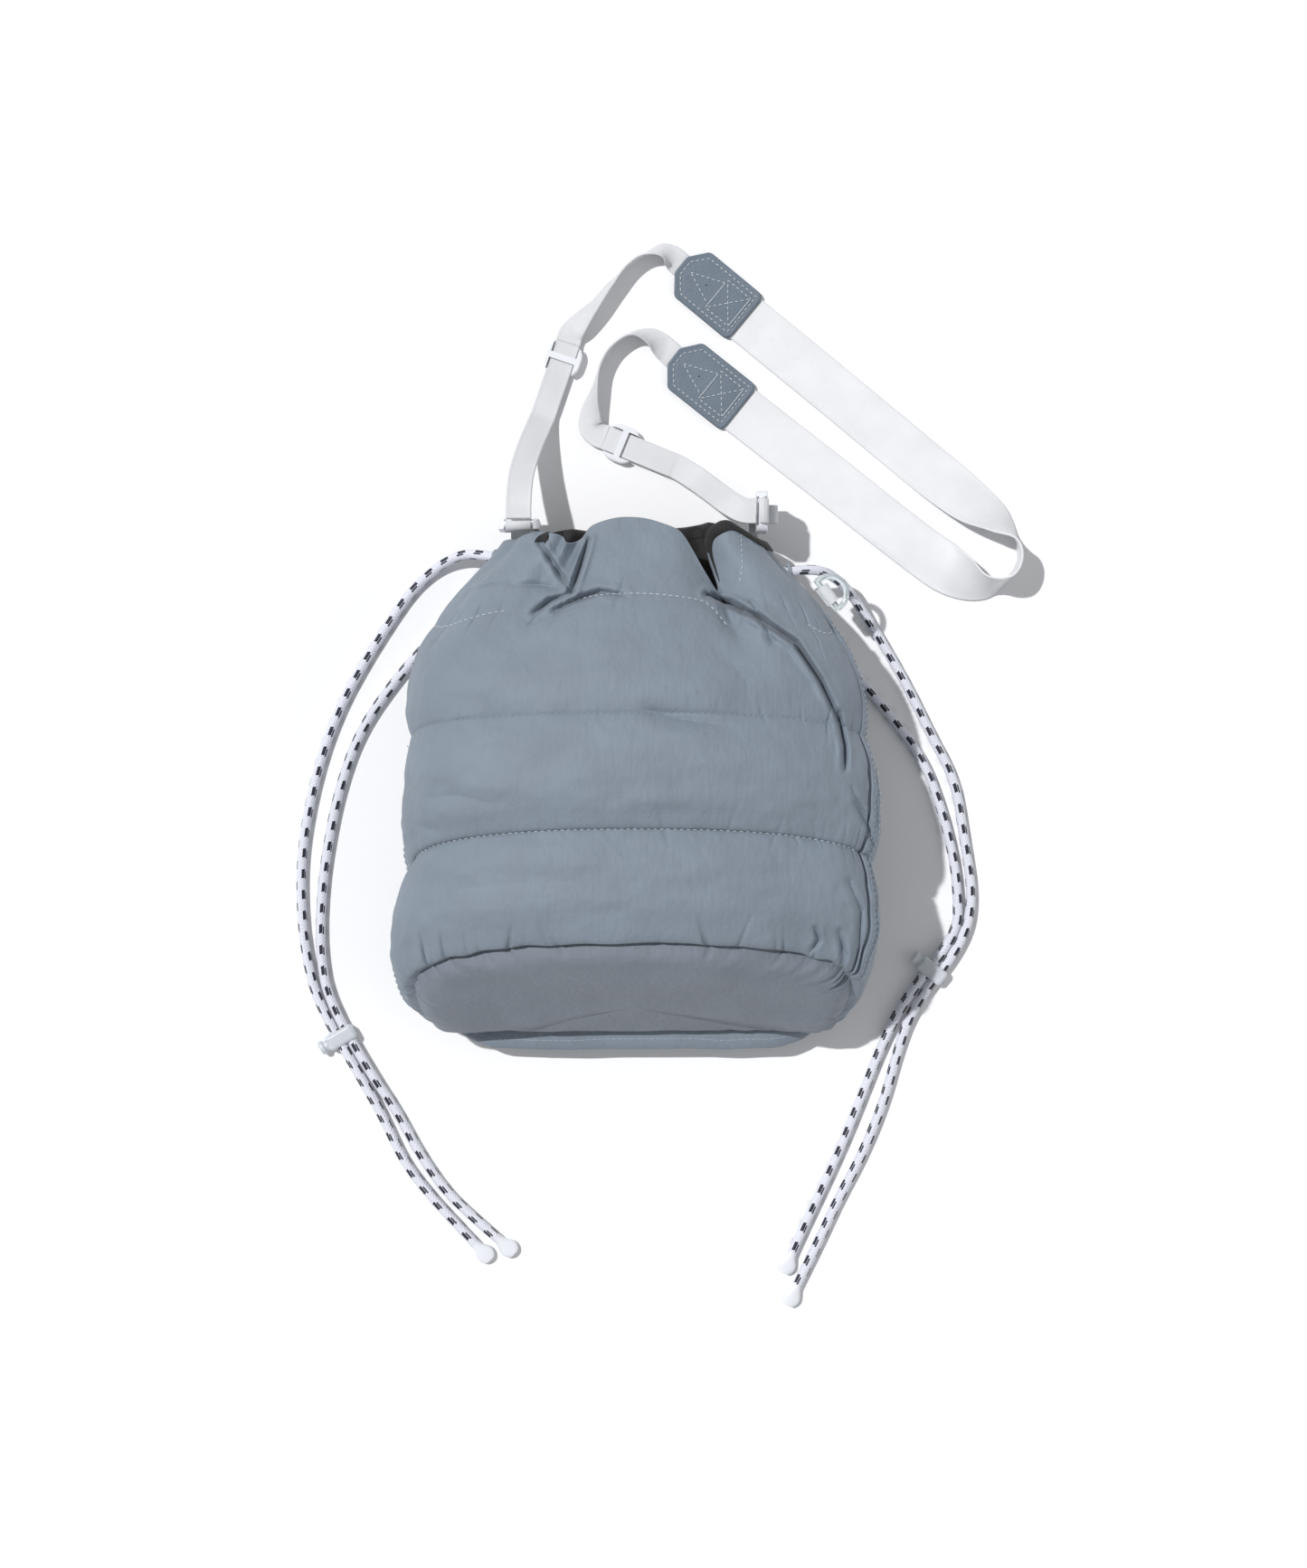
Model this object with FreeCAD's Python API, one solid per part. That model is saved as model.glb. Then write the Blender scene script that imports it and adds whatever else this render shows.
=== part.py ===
import FreeCAD, Part
import math
import os

# A padded drawstring shoe bag lying on its back.
# Millimetres. +Z is up from the table, +Y points at the mouth, the origin is on
# the table under the bag. The back panel rests flat on z = 0.

Vector = FreeCAD.Vector
UP = Vector(0, 0, 1)

# --- driving dimensions ---------------------------------------------------
FABRIC = 1.5            # outer nylon with its seam allowance
WADDING = 5.0           # soft filling behind the outer fabric
LINING = 1.0            # black lining
WALL = FABRIC + WADDING + LINING
SEAM_HEIGHT = 48.0      # where the front and back panels meet at the sides
SIDE_TAPE_WIDTH = 9.0
PRESSED_FLAT = 0.5      # how much of the roundness below is pressed flat by the table
CORNER = 0.44           # corner radius of a cross section, as a part of its height

MOUTH_Y = 122.0         # end of the mouth binding
BINDING_DEPTH = 3.0
CHANNEL_WALL = 9.2      # the channel is folded double round the drawcord
CHANNEL_Y = 90.0        # start of the drawcord channel
BASE_LOW_Y = -134.0     # the base leans, lowest edge first
BASE_LEAN = 29.0        # degrees from upright

# cross sections of the bag: y, half width, height
SECTIONS = [
    (-140, 110, 100),
    (-105, 119, 108),
    (-65, 122, 113),
    (-15, 118, 114),
    (35, 113, 109),
    (70, 106, 98),
    (98, 88, 80),
    (107, 80.5, 71.8),
    (115, 73.8, 64.4),
    (MOUTH_Y, 68, 58),
]

CORD_D = 5.0            # braided drawcord
TUNNEL_D = 6.0          # room for it in the channel
LOCK_BORE_Z = 4.3       # centre of a strand inside a cord lock

NARROW = 12.7           # half inch webbing
WIDE = 25.4             # one inch webbing
WEB_T = 1.2
GAP = 0.4               # clearance between pieces that move on each other

TAB_T = 1.6             # leather


# --- small helpers --------------------------------------------------------
def save(name, shape):
    """Write one node and print its volume."""
    shape.exportStep("parts/" + name + ".step")
    print("%-24s %10.1f mm3  solids %d valid %s"
          % (name, shape.Volume, len(shape.Solids), shape.isValid()))


def box(x0, x1, y0, y1, z0, z1):
    return Part.makeBox(x1 - x0, y1 - y0, z1 - z0, Vector(x0, y0, z0))


def rounded_rectangle(centre, half_u, half_v, radius, u_axis, v_axis):
    """A closed wire of four lines and four tangent arcs."""
    def at(u, v):
        return centre + u_axis * u + v_axis * v
    edges = []
    corners = [(1, 1), (-1, 1), (-1, -1), (1, -1)]
    diagonal = radius * (1 - math.sqrt(0.5))
    for index, (su, sv) in enumerate(corners):
        along_u = at(su * (half_u - radius), sv * half_v)
        along_v = at(su * half_u, sv * (half_v - radius))
        middle = at(su * (half_u - diagonal), sv * (half_v - diagonal))
        first, last = (along_v, along_u) if su * sv > 0 else (along_u, along_v)
        edges.append(Part.Arc(first, middle, last).toShape())
        next_u, next_v = corners[(index + 1) % 4]
        if su * sv > 0:
            target = at(next_u * (half_u - radius), next_v * half_v)
        else:
            target = at(next_u * half_u, next_v * (half_v - radius))
        edges.append(Part.LineSegment(last, target).toShape())
    return Part.Wire(edges)


def oval(y, half_width, height, inset):
    """One cross section of the bag, moved inwards by inset."""
    half_height = height / 2.0
    return rounded_rectangle(Vector(0, y, half_height - PRESSED_FLAT), half_width - inset,
                             half_height - inset, height * CORNER - inset,
                             Vector(1, 0, 0), UP)


def bag_volume(inset):
    """The whole bag as one solid, moved inwards by inset."""
    wires = [oval(y, half_width, height, inset) for y, half_width, height in SECTIONS]
    pressed_flat = box(-300, 300, -300, 300, inset, 300)
    return Part.makeLoft(wires, True, False).common(pressed_flat)


def base_side(depth):
    """Everything on the mouth side of the leaning base, depth behind it."""
    size = 600
    block = Part.makeBox(size, size, size, Vector(-size / 2, depth, -size / 2))
    block.rotate(Vector(0, 0, 0), Vector(1, 0, 0), -BASE_LEAN)
    block.translate(Vector(0, BASE_LOW_Y, 0))
    return block


def section_at(y):
    """Half width and height of the bag at y, by straight interpolation."""
    for (y0, w0, h0), (y1, w1, h1) in zip(SECTIONS, SECTIONS[1:]):
        if y0 <= y <= y1:
            part = (y - y0) / float(y1 - y0)
            return w0 + part * (w1 - w0), h0 + part * (h1 - h0)
    raise ValueError(y)


def route_wire(points):
    """Straight runs joined by tangent arcs as large as the runs allow."""
    edges = []
    start = points[0]
    tightest = None
    for before, corner, after in zip(points, points[1:], points[2:]):
        run_in = corner - before
        run_out = after - corner
        turn = run_in.getAngle(run_out)
        shorter = min(run_in.Length, run_out.Length)
        trim = 0.45 * shorter
        radius = trim / math.tan(turn / 2.0)
        tightest = radius if tightest is None else min(tightest, radius)
        way_in = Vector(run_in).normalize()
        way_out = Vector(run_out).normalize()
        arc_start = corner - way_in * trim
        arc_end = corner + way_out * trim
        to_centre = (way_out - way_in).normalize()
        centre = corner + to_centre * (radius / math.cos(turn / 2.0))
        middle = centre - to_centre * radius
        edges.append(Part.LineSegment(start, arc_start).toShape())
        edges.append(Part.Arc(arc_start, middle, arc_end).toShape())
        start = arc_end
    edges.append(Part.LineSegment(start, points[-1]).toShape())
    return Part.Wire(edges), tightest


def cord_tube(name, points):
    """A round strand along its route, checked against section times length."""
    path, tightest = route_wire(points)
    heading = points[1] - points[0]
    ring = Part.Wire(Part.makeCircle(CORD_D / 2.0, points[0], heading))
    tube = path.makePipeShell([ring], True, False)
    expected = math.pi * (CORD_D / 2.0) ** 2 * path.Length
    print("%-24s length %.1f  tightest radius %.1f  volume ratio %.3f"
          % (name, path.Length, tightest, tube.Volume / expected))
    return tube


def frame_at(points, index):
    """Heading of a ribbon at one of its stations."""
    before = points[max(index - 1, 0)]
    after = points[min(index + 1, len(points) - 1)]
    return (after - before).normalize()


def ribbon(stations, width, thickness):
    """A flat strap through stations (x, y, z, roll), roll 90 stands on edge."""
    points = [Vector(x, y, z) for x, y, z, roll in stations]
    wires = []
    for index, point in enumerate(points):
        heading = frame_at(points, index)
        side = heading.cross(UP).normalize()
        roll = FreeCAD.Rotation(heading, stations[index][3])
        across = roll.multVec(side) * (width / 2.0)
        through = heading.cross(across).normalize() * (thickness / 2.0)
        corners = [point + across + through, point - across + through,
                   point - across - through, point + across - through]
        wires.append(Part.makePolygon(corners + corners[:1]))
    return Part.makeLoft(wires, True, True)


# --- the padded bag -------------------------------------------------------
def bag_layers():
    """Outer fabric, wadding and lining, each as front, back and base."""
    insets = [0, FABRIC, FABRIC + WADDING, WALL]
    solids = [bag_volume(inset) for inset in insets]
    limits = [base_side(depth) for depth in insets]
    panels_end = box(-300, 300, -300, CHANNEL_Y, -50, 300)
    front_half = box(-300, 300, -300, 300, SEAM_HEIGHT, 300)
    names = ["panel", "wadding", "lining"]
    for index, name in enumerate(names):
        ring = solids[index].cut(solids[index + 1])
        ring = ring.common(limits[index]).common(panels_end)
        save("front_" + name, ring.common(front_half))
        save("back_" + name, ring.cut(front_half))
        inside = solids[index + 1]
        slab = inside.common(limits[index]).cut(limits[index + 1])
        save("base_" + name, slab)
    return solids


def mouth(solids):
    """The drawcord channel with its tunnels and exits, and the black binding."""
    band_end = MOUTH_Y - BINDING_DEPTH
    wall = solids[0].cut(solids[-1])
    band = solids[0].cut(bag_volume(CHANNEL_WALL))
    band = band.common(box(-300, 300, CHANNEL_Y, band_end, -50, 300))
    for side, y in TUNNELS.items():
        half_width, height = section_at(y)
        path = oval(y, half_width, height, CHANNEL_WALL / 2.0)
        start = path.Edges[0].Vertexes[0].Point
        heading = path.Edges[0].tangentAt(path.Edges[0].FirstParameter)
        hole = Part.Wire(Part.makeCircle(TUNNEL_D / 2.0, start, heading))
        band = band.cut(path.makePipeShell([hole], True, False))
        cord = Part.Wire(Part.makeCircle(CORD_D / 2.0, start, heading))
        ring = path.makePipeShell([cord], True, False)
        low, high = (-300, 0) if side == "left" else (0, 300)
        gap = box(low, high, y - TUNNEL_D, y + TUNNEL_D, EXIT_LOW, EXIT_HIGH)
        save("drawcord_%s_in_channel" % side, ring.cut(gap))
        for strand in ("outer", "inner"):
            first, second = [Vector(*place) for place in STRANDS[side + "_" + strand][:2]]
            way_out = (second - first).normalize()
            band = band.cut(Part.makeCylinder(TUNNEL_D / 2.0, 40, first - way_out * 2, way_out))
    front_half = box(-300, 300, -300, 300, SEAM_HEIGHT, 300)
    save("channel_front", band.common(front_half))
    save("channel_back", band.cut(front_half))
    save("mouth_binding", wall.common(box(-300, 300, band_end, MOUTH_Y, -50, 300)))


def side_tapes(solids):
    """Flat double stitched tape over each side seam."""
    skin = bag_volume(-WEB_T).cut(solids[0]).common(base_side(6))
    half = SIDE_TAPE_WIDTH / 2.0
    low = SEAM_HEIGHT - half
    high = SEAM_HEIGHT + half
    save("side_tape_left", skin.common(box(-300, 0, -300, CHANNEL_Y, low, high)))
    save("side_tape_right", skin.common(box(0, 300, -300, CHANNEL_Y, low, high)))


# --- drawcords ------------------------------------------------------------
TUNNELS = {"left": 115.0, "right": 107.0}
EXIT_LOW = 8.0
EXIT_HIGH = 37.0

# Each lock: its centre, and its way along the cord in degrees.
LOCKS = {
    "left": {"at": Vector(-149.5, -126.5, LOCK_BORE_Z), "way": 120.0},
    "right": {"at": Vector(150.0, -94.0, LOCK_BORE_Z), "way": 51.0},
}

# Each strand runs from its exit in the channel, through its lock, to its tip.
LEFT_OUTER = [
    (-68, 115, 22), (-77, 116.5, 18), (-87, 118, 11), (-97, 114.5, 5.5), (-106.5, 107.5, 2.9),
    (-116, 98, 2.6), (-127, 82, 2.6), (-139.5, 62, 2.6), (-152, 39, 2.6), (-163, 8, 2.6),
    (-170.5, -30, 2.6), (-171, -62, 2.6),
    (-168, -88, 3.2), (-161.8, -110.5, 4.3), (-139.8, -148.6, 4.3), (-129, -168, 2.6),
    (-119, -190, 2.6), (-105, -208, 2.6), (-91, -223, 2.6), (-82.5, -232, 2.6),
]
LEFT_INNER = [
    (-65, 115, 12), (-73, 113, 11), (-80, 106.5, 7.8), (-86, 97.5, 4.2), (-93.5, 87.5, 2.7),
    (-103, 76.5, 2.6), (-121, 57, 2.6), (-141, 29, 2.6), (-152, -2, 2.6), (-158.5, -36, 2.6),
    (-161, -62, 2.6), (-161, -85, 3.2), (-157.2, -107.8, 4.3), (-135.2, -145.9, 4.3),
    (-122, -165, 2.6),
    (-111, -186, 2.6), (-97, -206, 2.6), (-83, -219, 2.6), (-71, -229.5, 2.6),
]
RIGHT_OUTER = [
    (76, 107, 33), (85, 109, 32), (95.5, 107.5, 25.5), (105.5, 100.5, 15), (114, 89, 6),
    (124, 73.5, 2.7), (137, 51, 2.6), (148, 28, 2.6), (161, 4, 2.6), (165.5, -24, 2.6),
    (170.5, -57, 3.0), (164.7, -80.1, 4.3), (139.5, -111.3, 4.3), (132, -134, 2.6),
    (125, -160, 2.6), (114, -187, 2.6), (101.5, -210, 2.6), (91, -233, 2.6), (81, -253, 2.6),
]
RIGHT_INNER = [
    (70, 107, 12), (78, 104.5, 11), (84.5, 97.5, 7.2), (90, 87.5, 3.8), (97, 75, 2.6),
    (109, 59, 2.6), (127, 38, 2.6), (145, 14, 2.6), (154, -10, 2.6), (160.5, -36, 2.6),
    (162.5, -55, 3.0),
    (160.4, -76.8, 4.3), (135.3, -107.8, 4.3), (124.5, -130, 2.6), (115, -154, 2.6),
    (105, -179, 2.6), (95, -201, 2.6), (85.5, -221, 2.6), (78.5, -236.5, 2.6),
]
STRANDS = {
    "left_outer": LEFT_OUTER,
    "left_inner": LEFT_INNER,
    "right_outer": RIGHT_OUTER,
    "right_inner": RIGHT_INNER,
}


def cord_tip(end, heading):
    """A moulded tip: round where the cord goes in, a flat paddle at its end."""
    side = heading.cross(UP).normalize()
    wires = []
    for along, half_wide, half_tall in TIP_SHAPE:
        centre = end + heading * along
        curve = Part.Ellipse(centre + side * half_wide, centre + UP * half_tall, centre)
        wires.append(Part.Wire(curve.toShape()))
    return Part.makeLoft(wires, True, False)


# along the cord, half width, half height
TIP_SHAPE = [(0, 2.6, 2.55), (2.5, 2.9, 2.5), (6.5, 4.6, 2.2), (9.5, 4.2, 1.9), (11.5, 2.4, 1.4)]


def drawcords():
    for name, route in STRANDS.items():
        points = [Vector(*place) for place in route]
        save("drawcord_" + name, cord_tube(name, points))
        heading = (points[-1] - points[-2]).normalize()
        save("cord_tip_" + name, cord_tip(points[-1], heading))


# --- cord locks -----------------------------------------------------------
LOCK_LENGTH = 8.4       # along the cord
LOCK_HALF_TALL = 4.0
BORE_HALF = 5.5
BORE_TALL = 5.5
LOCK_NEAR_END = 6.6
LOCK_FAR_END = 9.0
CHAMBER_START = 6.0
BUTTON_TRAVEL = 1.2
SPRING_PRESSED = 0.8    # length of the spring when the button is fully pressed
BUTTON_HEAD = 2.8
STEM_HALF = 2.6


def place_lock(shape, lock):
    """Local x along the cord, local y towards the button."""
    placed = shape.copy()
    placed.rotate(Vector(0, 0, 0), UP, lock["way"])
    placed.translate(lock["at"])
    return placed


def lock_housing():
    half = LOCK_LENGTH / 2.0
    body = box(-half, half, -LOCK_NEAR_END, LOCK_FAR_END, -LOCK_HALF_TALL, LOCK_HALF_TALL)
    body = body.makeFillet(2.2, body.Edges)
    bore = box(-half - 1, half + 1, -BORE_HALF, BORE_HALF, -BORE_TALL / 2, BORE_TALL / 2)
    along = [edge for edge in bore.Edges if abs(edge.tangentAt(0).x) > 0.9]
    bore = bore.makeFillet(BORE_TALL / 2 - 0.05, along)
    chamber = Part.makeCylinder(STEM_HALF + GAP, LOCK_FAR_END, Vector(0, CHAMBER_START, 0),
                                Vector(0, 1, 0))
    return body.cut(bore).cut(chamber)


def lock_button():
    stem_start = CHAMBER_START + SPRING_PRESSED + BUTTON_TRAVEL + GAP / 2
    head_start = LOCK_FAR_END + BUTTON_TRAVEL + GAP / 2
    stem = Part.makeCylinder(STEM_HALF, head_start - stem_start + 0.1, Vector(0, stem_start, 0),
                             Vector(0, 1, 0))
    head = Part.makeCylinder(LOCK_HALF_TALL - 0.3, BUTTON_HEAD, Vector(0, head_start, 0),
                             Vector(0, 1, 0))
    head = head.makeFillet(1.2, head.Edges)
    return stem.fuse(head).removeSplitter()


def lock_spring():
    """The spring at its fully pressed length, so that it stays clear."""
    outer = Part.makeCylinder(STEM_HALF - 0.2, SPRING_PRESSED, Vector(0, CHAMBER_START, 0),
                              Vector(0, 1, 0))
    inner = Part.makeCylinder(STEM_HALF - 0.9, SPRING_PRESSED, Vector(0, CHAMBER_START, 0),
                              Vector(0, 1, 0))
    return outer.cut(inner)


def cord_locks():
    for side, lock in LOCKS.items():
        save("cord_lock_" + side, place_lock(lock_housing(), lock))
        save("lock_button_" + side, place_lock(lock_button(), lock))
        save("lock_spring_" + side, place_lock(lock_spring(), lock))


# --- shoulder strap -------------------------------------------------------
HOOK_LEFT = Vector(-59, 130.6, 42)
HOOK_RIGHT = Vector(62, 137, 42)
BAR_R = 1.6
FOLD_R = 3.6            # outside of the webbing folded round a hook's bar
FOLD_IN = 2.1
DOUBLE_T = 2 * WEB_T
SLIDER_Z = 3.1          # centre of the webbing inside a slider

# Stations of each ribbon: x, y, z and roll, where roll 90 stands the webbing on edge.
DOUBLE_LEFT = [
    (-59, 133.2, 42, 0), (-59, 142, 40, 0), (-58, 156, 31, 0), (-54, 172, 17, 0),
    (-47.7, 189.1, 3.1, 0), (-35.2, 225.7, 3.1, 0),
]
SINGLE_LEFT = [
    (-35.2, 225.7, 3.1, 0), (-33.8, 229.8, 3.3, 6), (-29, 236, 4.9, 36), (-22, 244, 6.2, 62),
    (-14, 254.5, 6.6, 75), (-5, 264, 6.8, 90), (3, 269.5, 6.8, 85), (11.5, 271.5, 6.0, 55),
    (18, 268.6, 2.6, 10), (21.9, 265.2, 1.4, 0), (31, 257.7, 1.4, 0),
]
DOUBLE_RIGHT = [
    (59.4, 137, 42, 0), (53, 137.4, 40.5, 0), (46, 141.5, 34, 0), (38, 148.5, 22, 0),
    (29, 156.2, 9.5, 0), (19.4, 162.6, 3.1, 0), (-16.3, 177.3, 3.1, 0),
]
SINGLE_RIGHT = [
    (-16.3, 177.3, 3.1, 0), (-20, 178.8, 3.1, 0), (-23.5, 182.5, 3.4, 12),
    (-24, 190, 4.8, 38), (-22, 201, 6.6, 75), (-19, 213, 6.8, 90), (-13, 223, 6.8, 90),
    (-3, 229.5, 6.6, 80), (7, 228, 4.8, 40), (13.5, 223, 2.2, 8), (18.2, 218.7, 1.4, 0),
    (27.5, 211.3, 1.4, 0),
]
WIDE_STRAP = [
    (31, 257.7, 1.4, 0), (53, 239.5, 1.4, 0), (100, 201, 1.4, 0), (147, 162, 1.4, 0),
    (168, 145, 5.6, 20), (183, 133, 11.2, 55), (191.5, 124, 13.2, 85), (193, 115, 13.3, 90),
    (188, 106, 13.3, 90), (178, 102, 12.4, 70), (163, 107, 7.2, 30), (146, 118.5, 1.4, 0),
    (98, 156, 1.4, 0), (47.8, 195.1, 1.4, 0), (27.5, 211.3, 1.4, 0),
]

# Leather tabs sew the narrow webbing to the wide webbing.
TABS = {
    "upper": {"at": Vector(38.5, 251.5, 0), "way": -39.6},
    "lower": {"at": Vector(35, 205.3, 0), "way": -38.5},
}
TAB_OUTLINE = [(-21.5, 5), (-14, 14.5), (21.5, 14.5), (21.5, -14.5), (-14, -14.5), (-21.5, -5)]


def place_flat(shape, at, way):
    placed = shape.copy()
    placed.rotate(Vector(0, 0, 0), UP, way)
    placed.translate(at)
    return placed


def leather_tab(low, high):
    outline = [Vector(x, y, low) for x, y in TAB_OUTLINE]
    face = Part.Face(Part.makePolygon(outline + outline[:1]))
    slab = face.extrude(Vector(0, 0, high - low))
    upright = [edge for edge in slab.Edges if abs(edge.tangentAt(0).z) > 0.9]
    return slab.makeFillet(2.2, upright)


def fold_round_bar(hook, across):
    """Webbing folded back over a hook's bar, and the room inside the fold."""
    length = NARROW - 0.2
    start = hook - across * (length / 2.0)
    outer = Part.makeCylinder(FOLD_R, length, start, across)
    inner = Part.makeCylinder(FOLD_IN, NARROW + 4, start - across * 2, across)
    return outer, inner


def strap():
    left_outer, left_inner = fold_round_bar(HOOK_LEFT, Vector(1, 0, 0))
    left = ribbon(DOUBLE_LEFT, NARROW, DOUBLE_T).fuse(left_outer).cut(left_inner)
    save("webbing_left_doubled", left)
    right_outer, right_inner = fold_round_bar(HOOK_RIGHT, Vector(0, 1, 0))
    right = ribbon(DOUBLE_RIGHT, NARROW, DOUBLE_T).fuse(right_outer).cut(right_inner)
    save("webbing_right_doubled", right)
    wide = ribbon(WIDE_STRAP, WIDE, WEB_T)
    single_left = ribbon(SINGLE_LEFT, NARROW, WEB_T)
    single_right = ribbon(SINGLE_RIGHT, NARROW, WEB_T)
    save("webbing_left_single", single_left)
    save("webbing_right_single", single_right)
    save("webbing_wide", wide)
    for name, tab in TABS.items():
        top = leather_tab(2.0, 2.0 + TAB_T)
        bottom = leather_tab(0.0, 0.8)
        save("leather_tab_%s_top" % name, place_flat(top, tab["at"], tab["way"]))
        save("leather_tab_%s_under" % name, place_flat(bottom, tab["at"], tab["way"]))


# --- sliders on the narrow webbing ----------------------------------------
SLIDERS = {
    "left": {"at": Vector(-38, 217.5, SLIDER_Z), "way": 71.1},
    "right": {"at": Vector(-8.3, 174.0, SLIDER_Z), "way": -22.4},
}
SLIDER_LENGTH = 17.0    # along the webbing
SLIDER_WIDE = 19.0
SLIDER_BAR = 3.2


def slider():
    """An oval frame: end bars pass under the webbing and the centre bar over."""
    half_t = DOUBLE_T / 2.0 + GAP
    frame_half = 2.9
    wire = rounded_rectangle(Vector(0, 0, -frame_half), SLIDER_LENGTH / 2, SLIDER_WIDE / 2,
                             6.5, Vector(1, 0, 0), Vector(0, 1, 0))
    frame = Part.Face(wire).extrude(Vector(0, 0, 2 * frame_half))
    frame = frame.makeFillet(0.9, [edge for edge in frame.Edges
                                   if abs(edge.BoundBox.ZLength) < 1e-6])
    half_length = SLIDER_LENGTH / 2
    inner_half = NARROW / 2.0 + GAP
    passage = box(-half_length - 1, half_length + 1, -inner_half, inner_half, -half_t, half_t)
    above = box(-half_length - 1, half_length + 1, -inner_half, inner_half, half_t - 0.1, 9)
    centre_bar = box(-SLIDER_BAR / 2, SLIDER_BAR / 2, -inner_half - 1, inner_half + 1, half_t, 9)
    below = box(-half_length + SLIDER_BAR, half_length - SLIDER_BAR, -inner_half, inner_half,
                -9, -half_t + 0.1)
    return frame.cut(passage).cut(above.cut(centre_bar)).cut(below)


def sliders():
    for side, place in SLIDERS.items():
        save("slider_" + side, place_flat(slider(), place["at"], place["way"]))


# --- hooks and the loops they clip to --------------------------------------
HOOK_LOW = -24.0        # bottom of a hook below its bar
HOOK_HALF_WIDE = 10.4
HOOK_T = 5.6
HOOK_WALL = 3.2
CROSS_BAR_Z = -7.2
GATE_LOW = -19.0
GATE_HIGH = -9.0
LOOP_HALF_LONG = 8.6
LOOP_HALF_TALL = 3.4
LOOP_WIDTH = 9.0


def hook_body():
    """Local x along the bar, local y through the hook, z up, bar at the origin."""
    half_t = HOOK_T / 2.0
    middle_z = (HOOK_LOW + BAR_R) / 2.0
    half_tall = (BAR_R - HOOK_LOW) / 2.0
    x_axis = Vector(1, 0, 0)
    centre = Vector(0, -half_t, middle_z)
    outer = Part.Face(rounded_rectangle(centre, HOOK_HALF_WIDE, half_tall, 5.5, x_axis, UP))
    plate = outer.extrude(Vector(0, HOOK_T, 0))
    plate = plate.makeFillet(0.9, [edge for edge in plate.Edges
                                   if abs(edge.BoundBox.YLength) < 1e-6])
    inner_half = HOOK_HALF_WIDE - HOOK_WALL
    webbing_slot = box(-inner_half, inner_half, -9, 9, CROSS_BAR_Z + 1.3, -BAR_R)
    eye = box(-inner_half, inner_half, -9, 9, HOOK_LOW + HOOK_WALL, CROSS_BAR_Z - 1.3)
    gate_room = box(inner_half - 0.5, HOOK_HALF_WIDE + 1, -9, 9, GATE_LOW, GATE_HIGH)
    bar_trim = box(-inner_half, inner_half, -9, 9, -BAR_R, 9)
    bar = Part.makeCylinder(BAR_R, 2 * inner_half, Vector(-inner_half, 0, 0), x_axis)
    return plate.cut(webbing_slot).cut(eye).cut(gate_room).cut(bar_trim).fuse(bar)


def hook_gate():
    """A flat lever whose upper end is the round barrel that it turns on."""
    half_t = HOOK_T / 2.0 - 0.5
    inner = HOOK_HALF_WIDE - HOOK_WALL + 0.4
    outer = HOOK_HALF_WIDE - 0.4
    radius = (outer - inner) / 2.0
    pivot_x = (outer + inner) / 2.0
    pivot_z = GATE_HIGH - GAP - 0.4 - radius
    lever = box(inner, outer, -half_t, half_t, GATE_LOW + GAP, pivot_z)
    low_edges = [edge for edge in lever.Edges if edge.BoundBox.ZMax < pivot_z - 1]
    lever = lever.makeFillet(0.6, low_edges)
    barrel = Part.makeCylinder(radius, 2 * half_t, Vector(pivot_x, -half_t, pivot_z),
                               Vector(0, 1, 0))
    return lever.fuse(barrel).removeSplitter()


def loop_ring(long_axis, width_axis, centre):
    """A flat webbing loop, extruded along its width."""
    start = centre - width_axis * (LOOP_WIDTH / 2.0)
    outer = rounded_rectangle(start, LOOP_HALF_LONG, LOOP_HALF_TALL, 3.2, long_axis, UP)
    inner = rounded_rectangle(start, LOOP_HALF_LONG - WEB_T, LOOP_HALF_TALL - WEB_T, 2.0,
                              long_axis, UP)
    sweep = width_axis * LOOP_WIDTH
    return Part.Face(outer).extrude(sweep).cut(Part.Face(inner).extrude(sweep))


def hooks():
    for side, at, turn in (("left", HOOK_LEFT, 0), ("right", HOOK_RIGHT, 90)):
        save("hook_" + side, place_flat(hook_body(), at, turn))
        save("hook_gate_" + side, place_flat(hook_gate(), at, turn))
    bottom = HOOK_LEFT.z + HOOK_LOW + HOOK_WALL / 2
    left_at = Vector(HOOK_LEFT.x, HOOK_LEFT.y, bottom)
    left = loop_ring(Vector(0, 1, 0), Vector(1, 0, 0), left_at)
    save("strap_loop_left", left)
    right_at = Vector(HOOK_RIGHT.x, HOOK_RIGHT.y, bottom)
    right = loop_ring(Vector(1, 0, 0), Vector(0, 1, 0), right_at)
    tail_x = HOOK_RIGHT.x - LOOP_HALF_LONG
    tail = box(tail_x + 2.6, tail_x + 7, MOUTH_Y, HOOK_RIGHT.y, bottom - LOOP_HALF_TALL,
               bottom - LOOP_HALF_TALL + WEB_T)
    save("strap_loop_right", right.fuse(tail).removeSplitter())


# --- the clear ring at the right side seam ---------------------------------
RING_AT = Vector(94.5, 95.5, 40.0)
RING_WAY = -52.0        # direction of the seam there
RING_BAR_R = 1.5


def clear_ring():
    """A D ring: straight bar along local x, bow towards local y."""
    radius = 8.5
    left = Vector(-radius, 0, 0)
    right = Vector(radius, 0, 0)
    bow = Part.Arc(left, Vector(0, radius * 1.15, 0), right).toShape()
    circle = Part.Wire(Part.makeCircle(RING_BAR_R, left, bow.tangentAt(bow.FirstParameter)))
    curved = Part.Wire([bow]).makePipeShell([circle], True, False)
    bar = Part.makeCylinder(RING_BAR_R, 2 * radius + 2, Vector(-radius - 1, 0, 0), Vector(1, 0, 0))
    return curved.fuse(bar).removeSplitter()


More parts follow.
